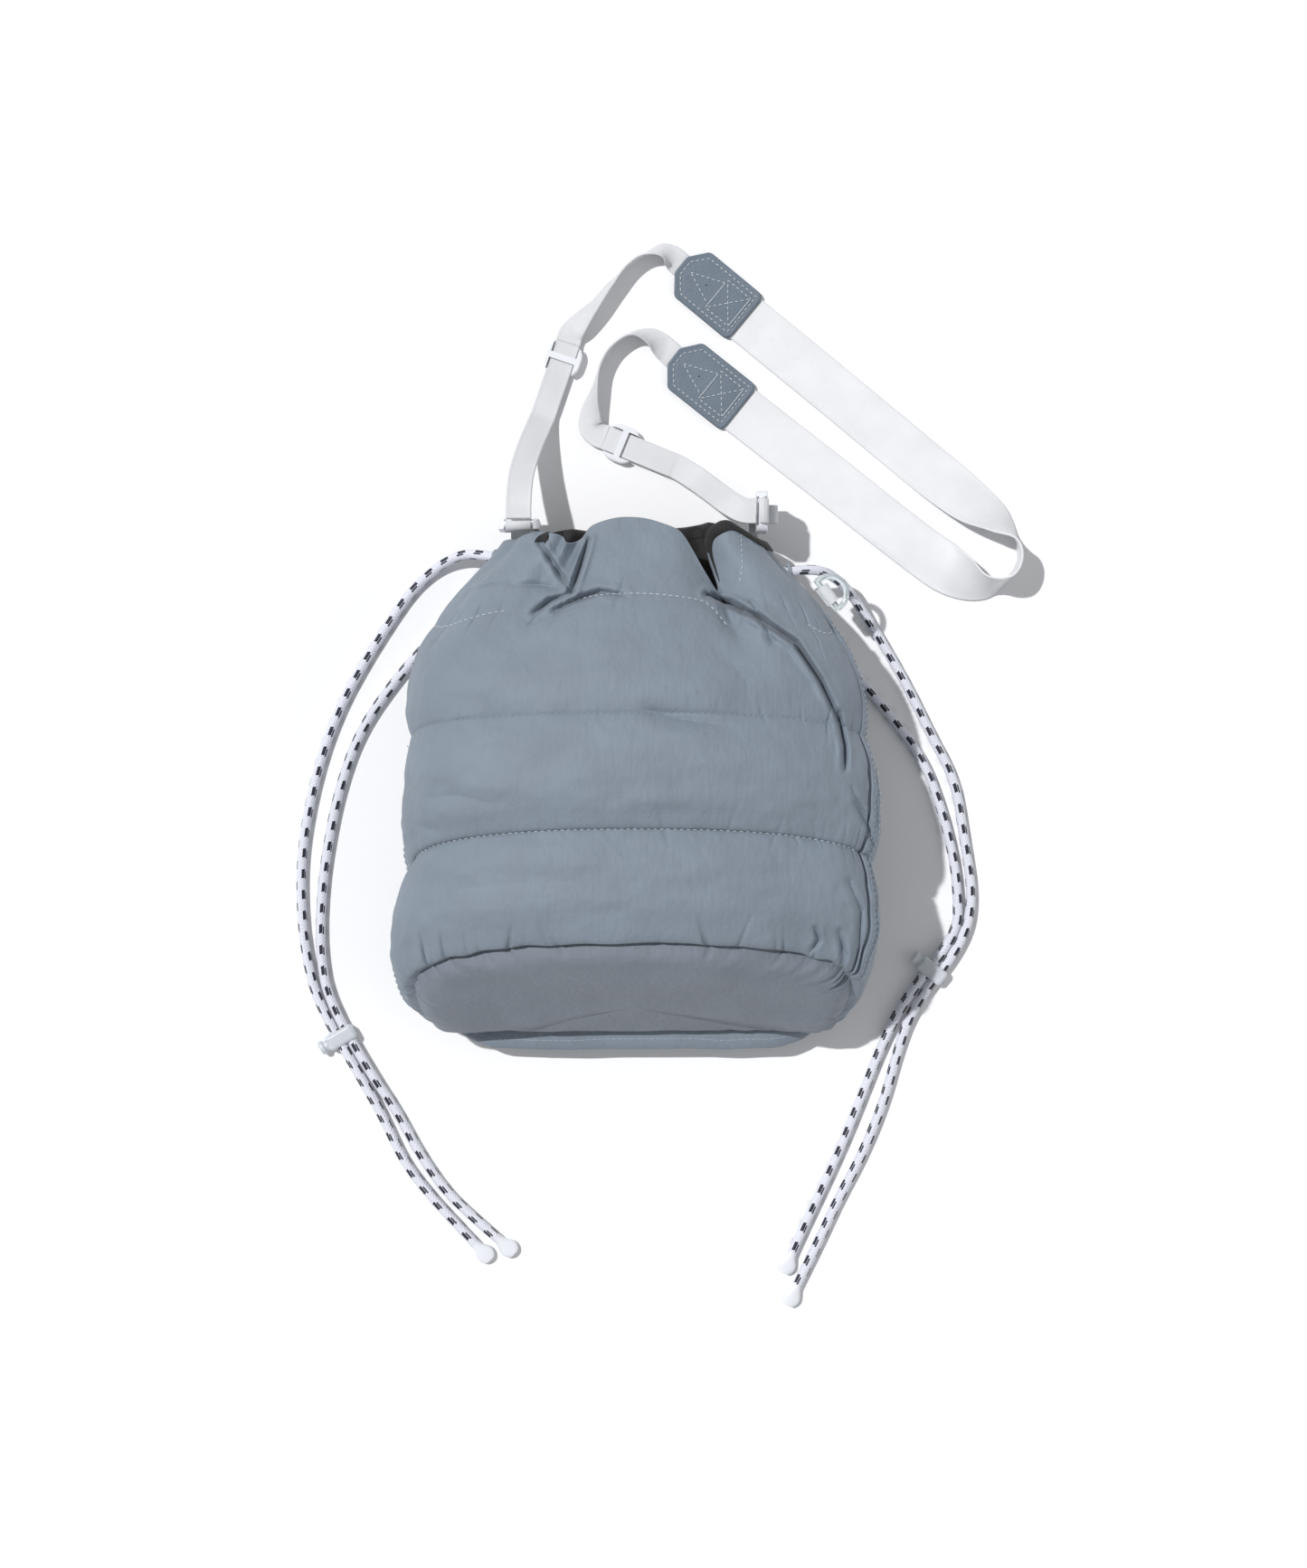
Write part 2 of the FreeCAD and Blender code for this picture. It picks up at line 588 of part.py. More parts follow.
def ring_and_tab():
    save("clear_ring", place_flat(clear_ring(), RING_AT, RING_WAY))
    outer = Part.makeCylinder(3.4, 10, Vector(-5, 0, 0), Vector(1, 0, 0))
    tail = box(-5, 5, -7.5, 0, -1.4, 1.4)
    room = Part.makeCylinder(RING_BAR_R + GAP, 12, Vector(-6, 0, 0), Vector(1, 0, 0))
    tab = place_flat(outer.fuse(tail).cut(room).removeSplitter(), RING_AT, RING_WAY)
    save("ring_tab", tab.cut(bag_volume(-0.2)))


# --- build ----------------------------------------------------------------
os.makedirs("parts", exist_ok=True)
bag_solids = bag_layers()
mouth(bag_solids)
side_tapes(bag_solids)
drawcords()
cord_locks()
strap()
sliders()
hooks()
ring_and_tab()
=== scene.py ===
import bpy
import math
import numpy as np
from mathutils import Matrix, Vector


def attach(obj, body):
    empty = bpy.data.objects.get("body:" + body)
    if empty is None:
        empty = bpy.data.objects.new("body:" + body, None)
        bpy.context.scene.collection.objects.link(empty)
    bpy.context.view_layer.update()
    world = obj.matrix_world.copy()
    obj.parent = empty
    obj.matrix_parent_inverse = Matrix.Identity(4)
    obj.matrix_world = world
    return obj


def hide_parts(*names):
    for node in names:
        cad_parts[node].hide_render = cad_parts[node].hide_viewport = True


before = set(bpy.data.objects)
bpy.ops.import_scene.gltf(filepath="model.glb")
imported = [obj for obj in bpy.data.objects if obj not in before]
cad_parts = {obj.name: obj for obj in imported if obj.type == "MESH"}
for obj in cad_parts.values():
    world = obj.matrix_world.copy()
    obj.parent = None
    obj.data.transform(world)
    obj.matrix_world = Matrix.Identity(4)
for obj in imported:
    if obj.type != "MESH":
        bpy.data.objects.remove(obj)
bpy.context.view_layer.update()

# A quilted drawstring shoe bag on a white table, seen from straight above.
# Metres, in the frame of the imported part: +Z up, +Y towards the mouth.

PI = math.pi


# --- numbers that drive the shapes ---
CORD_D = 0.005
CORD_SIDES = 20
NARROW = 0.0127          # the two webbings' widths, and their thickness
WIDE = 0.0254
WEB_T = 0.0012

BASE_LOW_Y = -0.1297     # the base plane at table height
BASE_EDGE = 0.0230       # height of the base seam's lowest edge above the table
BASE_SLOPE = 0.530       # how far it leans towards the mouth per metre of height
QUILT = (0.0, 0.168, 0.44, 0.72, 1.0)    # mouth, channel stitch, two quilt lines, base seam
MOUTH_LINE = 0.1225                      # the mouth, before its edge is gathered
SECTION_R = 0.095        # mean radius of the section, to turn angles round it into metres
NOISE_R = 0.11           # the same for the cloth's unevenness

# outline of the bag lying down: y, half width to the left, half width to the right, height
OUTLINE = [
    (-0.145, 0.112, 0.108, 0.096),
    (-0.120, 0.119, 0.117, 0.101),
    (-0.090, 0.1235, 0.1195, 0.107),
    (-0.062, 0.1235, 0.1215, 0.111),
    (-0.020, 0.1185, 0.1215, 0.113),
    (0.020, 0.1170, 0.1165, 0.111),
    (0.050, 0.1150, 0.1105, 0.105),
    (0.072, 0.1090, 0.1030, 0.097),
    (0.090, 0.0965, 0.0930, 0.088),
    (0.105, 0.0835, 0.0800, 0.077),
    (0.120, 0.0680, 0.0650, 0.066),
    (0.140, 0.0560, 0.0540, 0.058),
]


# --- small helpers ---
def smooth(value, low, high):
    """0 below low, 1 above high, eased between."""
    t = np.clip((value - low) / (high - low), 0.0, 1.0)
    return t * t * (3 - 2 * t)


def rough_field(u, v, seed):
    """Smooth noise between -1 and 1 at u, v, from a seeded lattice."""
    size = 64
    grid = np.random.default_rng(seed).uniform(-1, 1, (size, size))
    iu = np.floor(u).astype(int)
    iv = np.floor(v).astype(int)
    fu = u - iu
    fv = v - iv
    fu = fu * fu * (3 - 2 * fu)
    fv = fv * fv * (3 - 2 * fv)
    a, b, c, d = [grid[(iu + right) % size, (iv + up) % size]
                  for right, up in ((0, 0), (1, 0), (0, 1), (1, 1))]
    return (a * (1 - fu) + b * fu) * (1 - fv) + (c * (1 - fu) + d * fu) * fv


def outline_at(y):
    """Left half width, right half width and height at y, smoothly."""
    table = np.array(OUTLINE)
    offsets = np.linspace(-0.012, 0.012, 9)
    weights = np.hanning(11)[1:-1]
    weights = weights / weights.sum()
    return [sum(weight * np.interp(y + offset, table[:, 0], table[:, column])
                for offset, weight in zip(offsets, weights)) for column in (1, 2, 3)]


def distance_to_line(x, y, points):
    """Distance in plan to a chain of points, and how far along it, 0 to 1."""
    best = np.full(np.shape(x), 1e9)
    along = np.zeros(np.shape(x))
    pairs = list(zip(points, points[1:]))
    for index, ((x0, y0), (x1, y1)) in enumerate(pairs):
        dx = x1 - x0
        dy = y1 - y0
        t = np.clip(((x - x0) * dx + (y - y0) * dy) / (dx * dx + dy * dy), 0, 1)
        gap = np.hypot(x - x0 - t * dx, y - y0 - t * dy)
        closer = gap < best
        best = np.where(closer, gap, best)
        along = np.where(closer, (index + t) / len(pairs), along)
    return best, along


def put_in_scene(name, data):
    thing = bpy.data.objects.new(name, data)
    bpy.context.scene.collection.objects.link(thing)
    return thing


def smooth_mesh(name, vertices, faces):
    mesh = bpy.data.meshes.new(name)
    mesh.from_pydata(vertices, [], faces)
    mesh.polygons.foreach_set("use_smooth", [True] * len(mesh.polygons))
    return mesh


def grid_faces(rows, columns, close_u=False, caps=False):
    """Quads between rows x columns points; caps closes the first and last row."""
    index = np.arange(rows * columns).reshape(rows, columns)
    loop = np.concatenate([index, index[:, :1]], axis=1) if close_u else index
    corners = (loop[:-1, :-1], loop[:-1, 1:], loop[1:, 1:], loop[1:, :-1])
    faces = np.stack([corner.ravel() for corner in corners], axis=1).tolist()
    if caps:
        faces += [index[0, ::-1].tolist(), index[-1].tolist()]
    return faces


def grid_mesh(name, points, close_u=False, uv=None, caps=False):
    """A mesh from an array rows x columns x 3."""
    faces = grid_faces(*points.shape[:2], close_u, caps)
    mesh = smooth_mesh(name, points.reshape(-1, 3).tolist(), faces)
    if uv is not None:
        layer = mesh.uv_layers.new(name="UVMap")
        flat = uv.reshape(-1, 2)
        loops = np.zeros(len(mesh.loops), dtype=np.int64)
        mesh.loops.foreach_get("vertex_index", loops)
        layer.data.foreach_set("uv", flat[loops].ravel())
    mesh.update()
    return put_in_scene(name, mesh)


def paint(piece, material):
    piece.data.materials.clear()
    piece.data.materials.append(material)


def dress(piece, material, slot, *nodes):
    """A piece's look, and the CAD nodes that it stands for; it rides on the bag. The slot argument
    is not used.
    """
    paint(piece, material)
    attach(piece, "bag")
    if nodes:
        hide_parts(*nodes)


def paint_node(name, material):
    """Give a carried-over CAD node a better material."""
    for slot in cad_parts[name].material_slots:
        slot.material = material


# --- materials ---
class Shader:
    """A material with short calls for its nodes."""

    def __init__(self, name, colour, roughness, sockets=()):
        self.material = bpy.data.materials.new(name)
        self.material.use_nodes = True
        self.tree = self.material.node_tree
        self.surface = self.tree.nodes["Principled BSDF"]
        sockets = {"Base Color": (*colour, 1), "Roughness": roughness, **dict(sockets)}
        for socket, value in sockets.items():
            self.surface.inputs[socket].default_value = value

    def add(self, kind, **settings):
        node = self.tree.nodes.new(kind)
        for key, value in settings.items():
            if key in node.inputs:
                node.inputs[key].default_value = value
            else:
                setattr(node, key, value)
        return node

    def link(self, start, end):
        self.tree.links.new(start, end)

    def coordinates(self, kind="Object", scale=(1, 1, 1)):
        source = self.add("ShaderNodeTexCoord")
        mapping = self.add("ShaderNodeMapping")
        mapping.inputs["Scale"].default_value = scale
        self.link(source.outputs[kind], mapping.inputs["Vector"])
        return mapping.outputs["Vector"]

    def noise(self, scale, detail=3, kind="Object", stretch=(1, 1, 1)):
        node = self.add("ShaderNodeTexNoise", Scale=scale, Detail=detail)
        self.link(self.coordinates(kind, stretch), node.inputs["Vector"])
        return node.outputs["Fac"]

    def wave(self, scale, kind="UV", stretch=(1, 1, 1), direction="X", distortion=0.0):
        node = self.add("ShaderNodeTexWave", Scale=scale, Distortion=distortion)
        node.bands_direction = direction
        self.link(self.coordinates(kind, stretch), node.inputs["Vector"])
        return node.outputs["Fac"]

    def math(self, operation, a, b=None):
        node = self.add("ShaderNodeMath")
        node.operation = operation
        for value, socket in ((a, node.inputs[0]), (b, node.inputs[1])):
            if value is None:
                continue
            if isinstance(value, (int, float)):
                socket.default_value = value
            else:
                self.link(value, socket)
        return node.outputs[0]

    def ramp(self, fac, stops):
        node = self.add("ShaderNodeValToRGB")
        ramp = node.color_ramp
        while len(ramp.elements) < len(stops):
            ramp.elements.new(0.5)
        for element, (place, colour) in zip(ramp.elements, stops):
            element.position = place
            element.color = (*colour, 1)
        self.link(fac, node.inputs["Fac"])
        return node.outputs["Color"]

    def colour(self, output):
        self.link(output, self.surface.inputs["Base Color"])

    def mottle(self, fac, colour, *stops):
        """One colour in several tints; a stop is its place on the ramp and its factor."""
        self.colour(self.ramp(fac, [(place, tint(colour, factor)) for place, factor in stops]))

    def bump(self, heights):
        """Several (height, strength, distance) one on another."""
        normal = None
        for height, strength, distance in heights:
            node = self.add("ShaderNodeBump", Strength=strength, Distance=distance)
            self.link(height, node.inputs["Height"])
            if normal is not None:
                self.link(normal, node.inputs["Normal"])
            normal = node.outputs["Normal"]
        self.link(normal, self.surface.inputs["Normal"])


def tint(colour, factor):
    return tuple(channel * factor for channel in colour)


def nylon(name, colour):
    """Matt nylon with a fine weave, a crushed surface and uneven dye."""
    shader = Shader(name, colour, 0.62, {"Sheen Weight": 0.12, "Sheen Roughness": 0.45,
                                         "Specular IOR Level": 0.32})
    blotch = shader.noise(38, 4)
    shader.mottle(blotch, colour, (0.32, 0.94), (0.68, 1.05))
    warp = shader.wave(620, "Object", direction="X", distortion=0.4)
    weft = shader.wave(560, "Object", direction="Y", distortion=0.4)
    weave = shader.math("MULTIPLY", warp, weft)
    crush = shader.noise(260, 5, stretch=(1, 0.55, 1))
    crumple = shader.noise(85, 4, stretch=(1, 0.7, 1))
    hair = shader.noise(420, 2, stretch=(1, 0.12, 1))
    shader.bump([(weave, 0.3, 0.0002), (hair, 0.45, 0.0006), (crush, 0.5, 0.0010),
                 (crumple, 0.5, 0.0020)])
    return shader.material


def black_cloth():
    colour = (0.007, 0.007, 0.008)
    shader = Shader("black_lining", colour, 0.75, {"Sheen Weight": 0.05})
    weave = shader.wave(900, "Object", direction="X", distortion=1.0)
    crumple = shader.noise(120, 4)
    shader.mottle(crumple, colour, (0.3, 0.7), (0.7, 1.6))
    shader.bump([(weave, 0.3, 0.0003), (crumple, 0.5, 0.0015)])
    return shader.material


def white_webbing(name, colour):
    """Satin woven tape: a fine rib across, thicker selvedges, soft shine."""
    shader = Shader(name, colour, 0.38, {"Sheen Weight": 0.15})
    rib = shader.wave(620, "UV", direction="Y")
    yarn = shader.wave(900, "UV", direction="X")
    blotch = shader.noise(60, 3)
    shader.mottle(blotch, colour, (0.3, 0.96), (0.7, 1.03))
    shader.bump([(rib, 0.35, 0.0003), (yarn, 0.2, 0.0002)])
    return shader.material


def grey_leather():
    colour = (0.120, 0.155, 0.197)
    shader = Shader("grey_leather", colour, 0.48)
    grain = shader.add("ShaderNodeTexVoronoi", Scale=1100.0)
    shader.link(shader.coordinates(), grain.inputs["Vector"])
    mottled = shader.noise(70, 4)
    shader.mottle(mottled, colour, (0.3, 0.93), (0.7, 1.06))
    shader.bump([(grain.outputs["Distance"], 0.3, 0.0003), (mottled, 0.2, 0.0006)])
    return shader.material


def thread(name, colour):
    shader = Shader(name, colour, 0.5)
    twist = shader.wave(1500, "Object", direction="DIAGONAL")
    shader.bump([(twist, 0.4, 0.0002)])
    return shader.material


def moulding(name, colour, roughness, patches, tints, relief, sockets):
    """Moulded plastic, slightly patchy, with a very fine grain."""
    glow = {"Subsurface Radius": (0.004, 0.004, 0.004)}
    shader = Shader(name, colour, roughness, {**glow, **sockets})
    shader.mottle(shader.noise(patches, 3), colour, (0.3, tints[0]), (0.7, tints[1]))
    shader.bump([(shader.noise(900, 3), relief, 0.0001)])
    return shader.material


def white_plastic():
    return moulding("white_plastic", (0.76, 0.78, 0.82), 0.3, 90, (0.97, 1.02), 0.12,
                    {"Subsurface Weight": 0.25, "Subsurface Scale": 0.5})


def milky_plastic():
    return moulding("milky_plastic", (0.78, 0.82, 0.86), 0.28, 140, (0.95, 1.03), 0.15,
                    {"Transmission Weight": 0.35, "IOR": 1.49, "Subsurface Weight": 0.3})


def clear_plastic():
    shader = Shader("clear_plastic", (0.82, 0.89, 0.91), 0.12,
                    {"Transmission Weight": 0.75, "IOR": 1.49})
    shader.bump([(shader.noise(160, 2), 0.15, 0.0004)])
    return shader.material


def spring_metal():
    shader = Shader("spring_steel", (0.6, 0.6, 0.6), 0.3, {"Metallic": 1.0})
    shader.bump([(shader.noise(600, 3), 0.2, 0.0001)])
    return shader.material


# The cord's uv is in real metres: x round the cord, y along it.
TRACER_PITCH = 0.0106
TRACER_LENGTH = 0.0046
TRACER_LEAN = 0.25       # how far a dash's ends slant, along the cord per metre round it


def cord_braid():
    """White round braid with a bold and a thin dark tracer, again and again."""
    white = (0.70, 0.715, 0.79)
    navy = (0.006, 0.007, 0.022)
    shader = Shader("cord_braid", white, 0.6, {"Sheen Weight": 0.2})
    source = shader.add("ShaderNodeTexCoord")
    split = shader.add("ShaderNodeSeparateXYZ")
    shader.link(source.outputs["UV"], split.inputs["Vector"])
    around = split.outputs["X"]
    along = split.outputs["Y"]

    def dash(centre, half_width, shift, length):
        moved = shader.math("ADD", along, shift)
        lean = shader.math("MULTIPLY", around, TRACER_LEAN)
        place = shader.math("FRACT", shader.math("DIVIDE", shader.math("ADD", moved, lean),
                                                 TRACER_PITCH))
        in_length = shader.math("LESS_THAN", place, length / TRACER_PITCH)
        off = shader.math("ABSOLUTE", shader.math("SUBTRACT", around, centre))
        in_width = shader.math("LESS_THAN", off, half_width)
        return shader.math("MULTIPLY", in_length, in_width)

    circumference = PI * CORD_D
    marks = None
    for centre, half_width, shift, length in TRACERS:
        mark = dash(centre * circumference, half_width, shift, length)
        marks = mark if marks is None else shader.math("MAXIMUM", marks, mark)
    blend = shader.add("ShaderNodeMix", data_type="RGBA")
    shader.link(marks, blend.inputs["Factor"])
    blend.inputs[6].default_value = (*white, 1)
    blend.inputs[7].default_value = (*navy, 1)
    shader.colour(blend.outputs[2])
    plait_a = shader.wave(330, "UV", direction="DIAGONAL")
    plait_b = shader.wave(330, "UV", stretch=(-1, 1, 1), direction="DIAGONAL")
    shader.bump([(shader.math("MAXIMUM", plait_a, plait_b), 0.5, 0.0005)])
    return shader.material


# place round the cord, half width, shift along it, length: bold dashes, each with a thin one
TRACERS = []
for place, shift in ((0.120, 0.0), (0.453, 0.0053), (0.786, 0.0024)):
    TRACERS.append((place, 0.00090, shift, TRACER_LENGTH))
    TRACERS.append((place + 0.095, 0.00042, shift - 0.0014, TRACER_LENGTH * 0.9))

SHELL_COLOUR = (0.197, 0.236, 0.283)
BASE_COLOUR = (0.180, 0.209, 0.245)
M_SHELL = nylon("shell_nylon", SHELL_COLOUR)
M_BASE = nylon("base_nylon", BASE_COLOUR)
M_BLACK = black_cloth()
M_WEBBING = white_webbing("white_webbing", (0.75, 0.755, 0.775))
M_NARROW = white_webbing("narrow_webbing", (0.656, 0.665, 0.687))
M_LEATHER = grey_leather()
M_THREAD = thread("grey_thread", (0.27, 0.32, 0.37))
M_THREAD_PALE = thread("pale_thread", (0.55, 0.58, 0.62))
M_PLASTIC = white_plastic()
M_MILKY = milky_plastic()
M_CLEAR = clear_plastic()
M_SPRING = spring_metal()
M_CORD = cord_braid()
M_LOOP = nylon("loop_webbing", (0.62, 0.64, 0.67))


# --- drawcords ---
def in_metres(points):
    return [tuple(value * 0.001 for value in point) for point in points]


LEFT_OUTER = in_metres([
    (-68, 115, 22), (-77, 116.5, 18), (-87, 118, 11), (-97, 114.5, 5.5), (-106.5, 107.5, 2.9),
    (-116, 98, 2.6), (-127, 82, 2.6), (-139.5, 62, 2.6), (-152, 39, 2.6), (-163, 8, 2.6),
    (-170.5, -30, 2.6), (-171, -62, 2.6),
    (-168, -88, 3.2), (-161.8, -110.5, 4.3), (-139.8, -148.6, 4.3),
    (-129, -168, 2.6), (-119, -190, 2.6), (-105, -208, 2.6), (-91, -223, 2.6),
    (-82.5, -232, 2.6),
])
LEFT_INNER = in_metres([
    (-57, 115.2, 12.2), (-73, 113, 11), (-80, 106.5, 7.8), (-86, 97.5, 4.2), (-93.5, 87.5, 2.7),
    (-103, 76.5, 2.6), (-121, 57, 2.6), (-141, 29, 2.6), (-152, -2, 2.6), (-158.5, -36, 2.6),
    (-161, -62, 2.6), (-161, -85, 3.2), (-157.2, -107.8, 4.3), (-135.2, -145.9, 4.3),
    (-122, -165, 2.6),
    (-111, -186, 2.6), (-97, -206, 2.6), (-83, -219, 2.6), (-71, -229.5, 2.6),
])
RIGHT_OUTER = in_metres([
    (70.5, 106.9, 33.3), (85, 109, 32), (95.5, 107.5, 25.5), (105.5, 100.5, 15), (114, 89, 6),
    (124, 73.5, 2.7), (137, 51, 2.6), (148, 28, 2.6), (161, 4, 2.6), (165.5, -24, 2.6),
    (170.5, -57, 3.0), (164.7, -80.1, 4.3), (139.5, -111.3, 4.3), (132, -134, 2.6),
    (125, -160, 2.6), (114, -187, 2.6), (101.5, -210, 2.6), (91, -233, 2.6), (81, -253, 2.6),
])
RIGHT_INNER = in_metres([
    (61.5, 107.3, 12.2), (78, 104.5, 11), (84.5, 97.5, 7.2), (90, 87.5, 3.8), (97, 75, 2.6),
    (109, 59, 2.6), (127, 38, 2.6), (145, 14, 2.6), (154, -10, 2.6), (160.5, -36, 2.6),
    (162.5, -55, 3.0),
    (162.3, -74.5, 4.3), (135.3, -107.8, 4.3), (124.5, -130, 2.6), (115, -154, 2.6),
    (105, -179, 2.6), (95, -201, 2.6), (85.5, -221, 2.6), (78.5, -236.5, 2.6),
])
STRANDS = {"left_outer": LEFT_OUTER, "left_inner": LEFT_INNER,
           "right_outer": RIGHT_OUTER, "right_inner": RIGHT_INNER}


def spline_points(route, steps=10):
    """Points along the NURBS spline whose control points are the route."""
    data = bpy.data.curves.new("route", "CURVE")
    data.dimensions = "3D"
    data.resolution_u = steps
    spline = data.splines.new("NURBS")
    spline.points.add(len(route) - 1)
    for point, place in zip(spline.points, route):
        point.co = (*place, 1)
    spline.order_u = 3
    spline.use_endpoint_u = True
    carrier = put_in_scene("route", data)
    bpy.context.view_layer.update()
    graph = bpy.context.evaluated_depsgraph_get()
    mesh = bpy.data.meshes.new_from_object(carrier.evaluated_get(graph))
    points = np.array([tuple(vertex.co) for vertex in mesh.vertices])
    bpy.data.objects.remove(carrier)
    bpy.data.curves.remove(data)
    bpy.data.meshes.remove(mesh)
    return points


def lengths_along(points):
    steps = np.linalg.norm(np.diff(points, axis=0), axis=1)
    return np.concatenate([[0], np.cumsum(steps)])


def headings(points):
    way = np.gradient(points, axis=0)
    return way / np.linalg.norm(way, axis=1)[:, None]


def sideways(way):
    """Level and square to the way along a line, and square to both."""
    side = np.cross(way, np.array([0.0, 0.0, 1.0]))
    side = side / np.linalg.norm(side, axis=-1, keepdims=True)
    return side, np.cross(side, way)


def cord_mesh(name, points, spin):
    """A round tube, open at its ends; uv in metres, round the cord and along it."""
    side, lift = sideways(headings(points))
    angle = np.linspace(0, 2 * PI, CORD_SIDES + 1)
    travelled = lengths_along(points)
    radius = CORD_D / 2
    turn = angle[None, :] + spin * travelled[:, None]
    ring = (points[:, None, :] + radius * np.cos(turn)[:, :, None] * side[:, None, :]
            + radius * np.sin(turn)[:, :, None] * lift[:, None, :])
    uv = np.stack(np.broadcast_arrays(angle[None, :] * radius, travelled[:, None]), axis=2)
    return grid_mesh(name, ring, uv=uv)


def drawcords():
    """The four free strands, with their tips; each braid turns slowly round its strand."""
    spins = {"left_outer": 6.0, "left_inner": -5.0, "right_outer": 5.0, "right_inner": 7.0}
    for name, route in STRANDS.items():
        points = spline_points(route)
        strand = cord_mesh("cord_" + name, points, spins[name])
        dress(strand, M_CORD, "cord_braid", "drawcord_" + name)
        paint_node("cord_tip_" + name, M_PLASTIC)


drawcords()


# --- the padded bag ---
SEAM_RIGHT = math.radians(3)         # where the side seams lie round the section
SEAM_LEFT = math.radians(193)
TOP_POWER = 2.35                     # roundness of a section above and below its middle
LOW_POWER = 3.3

# the channel's stitching dips towards the base: how far, degrees round, half width in degrees
CHANNEL_DIPS = [(0.040, 155, 30), (0.055, 22, 22), (0.012, 115, 10)]
# folds at the seams: seam, depth, reach towards the mouth, reach towards the base, overhang
SEAMS = [
    (1, 0.0024, 0.0080, 0.0080, 0.0),
    (2, 0.0048, 0.0100, 0.0170, 0.0012),
    (3, 0.0090, 0.0080, 0.0190, 0.0030),
    (4, 0.0135, 0.0085, 0.0095, 0.0),
]
# small tucks gathered along a seam: seam, how many, depth, reach, seed
TUCKS = [
    (1, 34, 0.0018, 0.0070, 3),
    (2, 30, 0.0012, 0.0060, 5),
    (3, 60, 0.0012, 0.0060, 7),
    (4, 60, 0.0062, 0.0058, 11),
]

# gathers at the mouth: degrees round, depth, half width in degrees, reach towards the base
PLEATS = [
    (113, 0.0120, 3.4, 0.17),
    (121, 0.0050, 2.4, 0.15),
    (134, 0.0030, 5.0, 0.12),
    (62, 0.0200, 7.0, 0.24),
    (160, 0.0050, 7.0, 0.16),
    (8, 0.0050, 7.0, 0.14),
    (-28, 0.0045, 6.0, 0.22),
    (-58, 0.0085, 7.0, 0.26),
    (-84, 0.0100, 7.0, 0.24),
    (-112, 0.0085, 7.0, 0.26),
    (-146, 0.0050, 6.0, 0.22),
]
# how far the mouth's edge stands forward or back: degrees, distance, half width in degrees
EDGE_WAVES = [
    (93, 0.0098, 20), (64, -0.0290, 5), (116, -0.0055, 5), (44, 0.0085, 14), (137, 0.0030, 12),
    (-60, 0.0100, 32), (-115, 0.0060, 24),
]
# creases in the front panel, in plan: points, depth, half width
CREASES = [
    ([(0.034, 0.094), (0.046, 0.090), (0.058, 0.083), (0.077, 0.070), (0.089, 0.052),
      (0.098, 0.033)], 0.0105, 0.0011),
    ([(0.098, 0.036), (0.101, 0.020), (0.101, 0.008)], 0.0065, 0.0011),
    ([(0.056, 0.090), (0.062, 0.080), (0.066, 0.070)], 0.0045, 0.0016),
    ([(0.040, 0.092), (0.050, 0.086), (0.061, 0.081)], 0.0040, 0.0014),
    ([(-0.050, 0.085), (-0.042, 0.091), (-0.031, 0.095)], 0.0065, 0.0012),
    ([(-0.040, 0.086), (-0.030, 0.091), (-0.018, 0.095), (-0.006, 0.093)], 0.0055, 0.0012),
    ([(-0.0480, 0.120), (-0.040, 0.108), (-0.032, 0.095)], 0.0060, 0.0010),
    ([(-0.0245, 0.121), (-0.028, 0.108), (-0.032, 0.095)], 0.0130, 0.0011),
    ([(-0.062, 0.099), (-0.048, 0.099), (-0.034, 0.096)], 0.0026, 0.0018),
    ([(-0.088, 0.089), (-0.082, 0.097), (-0.062, 0.101)], 0.0034, 0.0015),
    ([(-0.052, 0.079), (-0.036, 0.085), (-0.020, 0.091)], 0.0022, 0.0022),
    ([(-0.108, -0.006), (-0.086, -0.004), (-0.066, -0.009)], 0.0016, 0.0050),
    ([(-0.110, -0.018), (-0.094, -0.022)], 0.0016, 0.0045),
    ([(0.040, 0.066), (0.052, 0.052), (0.056, 0.036)], 0.0014, 0.0070),
    ([(0.006, 0.037), (0.020, 0.033), (0.044, 0.029)], 0.0022, 0.0030),
    ([(0.103, -0.046), (0.109, -0.060), (0.108, -0.078), (0.103, -0.094)], 0.0030, 0.0013),
    ([(0.098, -0.070), (0.101, -0.082), (0.099, -0.094)], 0.0028, 0.0012),
    ([(0.086, -0.068), (0.088, -0.074), (0.084, -0.080)], 0.0030, 0.0010),
    ([(0.106, -0.008), (0.113, -0.020), (0.117, -0.034)], 0.0030, 0.0013),
    ([(0.104, 0.000), (0.110, -0.012), (0.115, -0.022)], 0.0022, 0.0012),
    ([(-0.090, -0.050), (-0.060, -0.046), (-0.030, -0.045)], 0.0012, 0.0060),
]


# the cloth's unevenness: depth, size and shift round the bag, size and shift along it, seed
UNEVEN = [
    (0.0020, 0.055, 9, 0.050, 20, 3),
    (0.0007, 0.030, 5, 0.012, 30, 5),
    (0.0004, 0.010, 3, 0.006, 30, 6),
]
OVERHANG = (0.0022, 0.0030)          # the quilt folds' overhang: its place and its reach
SIDE_GROOVE = (0.0045, 0.0016)       # the groove at the right side seam: depth and width
MOUTH_FADE = 0.19                    # how far from the mouth its edge's waves are felt
BULGE = 0.0232                       # how far the back's lower edge bulges past the base seam
BULGE_FROM = 0.80
WAVER = 0.0009                       # how far the base seam wanders
FRONT_LIP = (0.0056, 0.0045, 0.0042)     # overhang of the front's last band: how far, where, reach
TABLE_GAP = 0.0005                   # the cloth comes no nearer to the table


def seam_place(index, angle):
    """How far down the wall a seam lies; the channel's stitching dips at both sides."""
    place = QUILT[index] + 0 * angle
    if index == 1:
        for dip, centre, half_width in CHANNEL_DIPS:
            place = place + dip * bell(around(angle, centre), 0, half_width)
    return place


def bell(value, centre, half_width):
    return np.exp(-((value - centre) / half_width) ** 2)


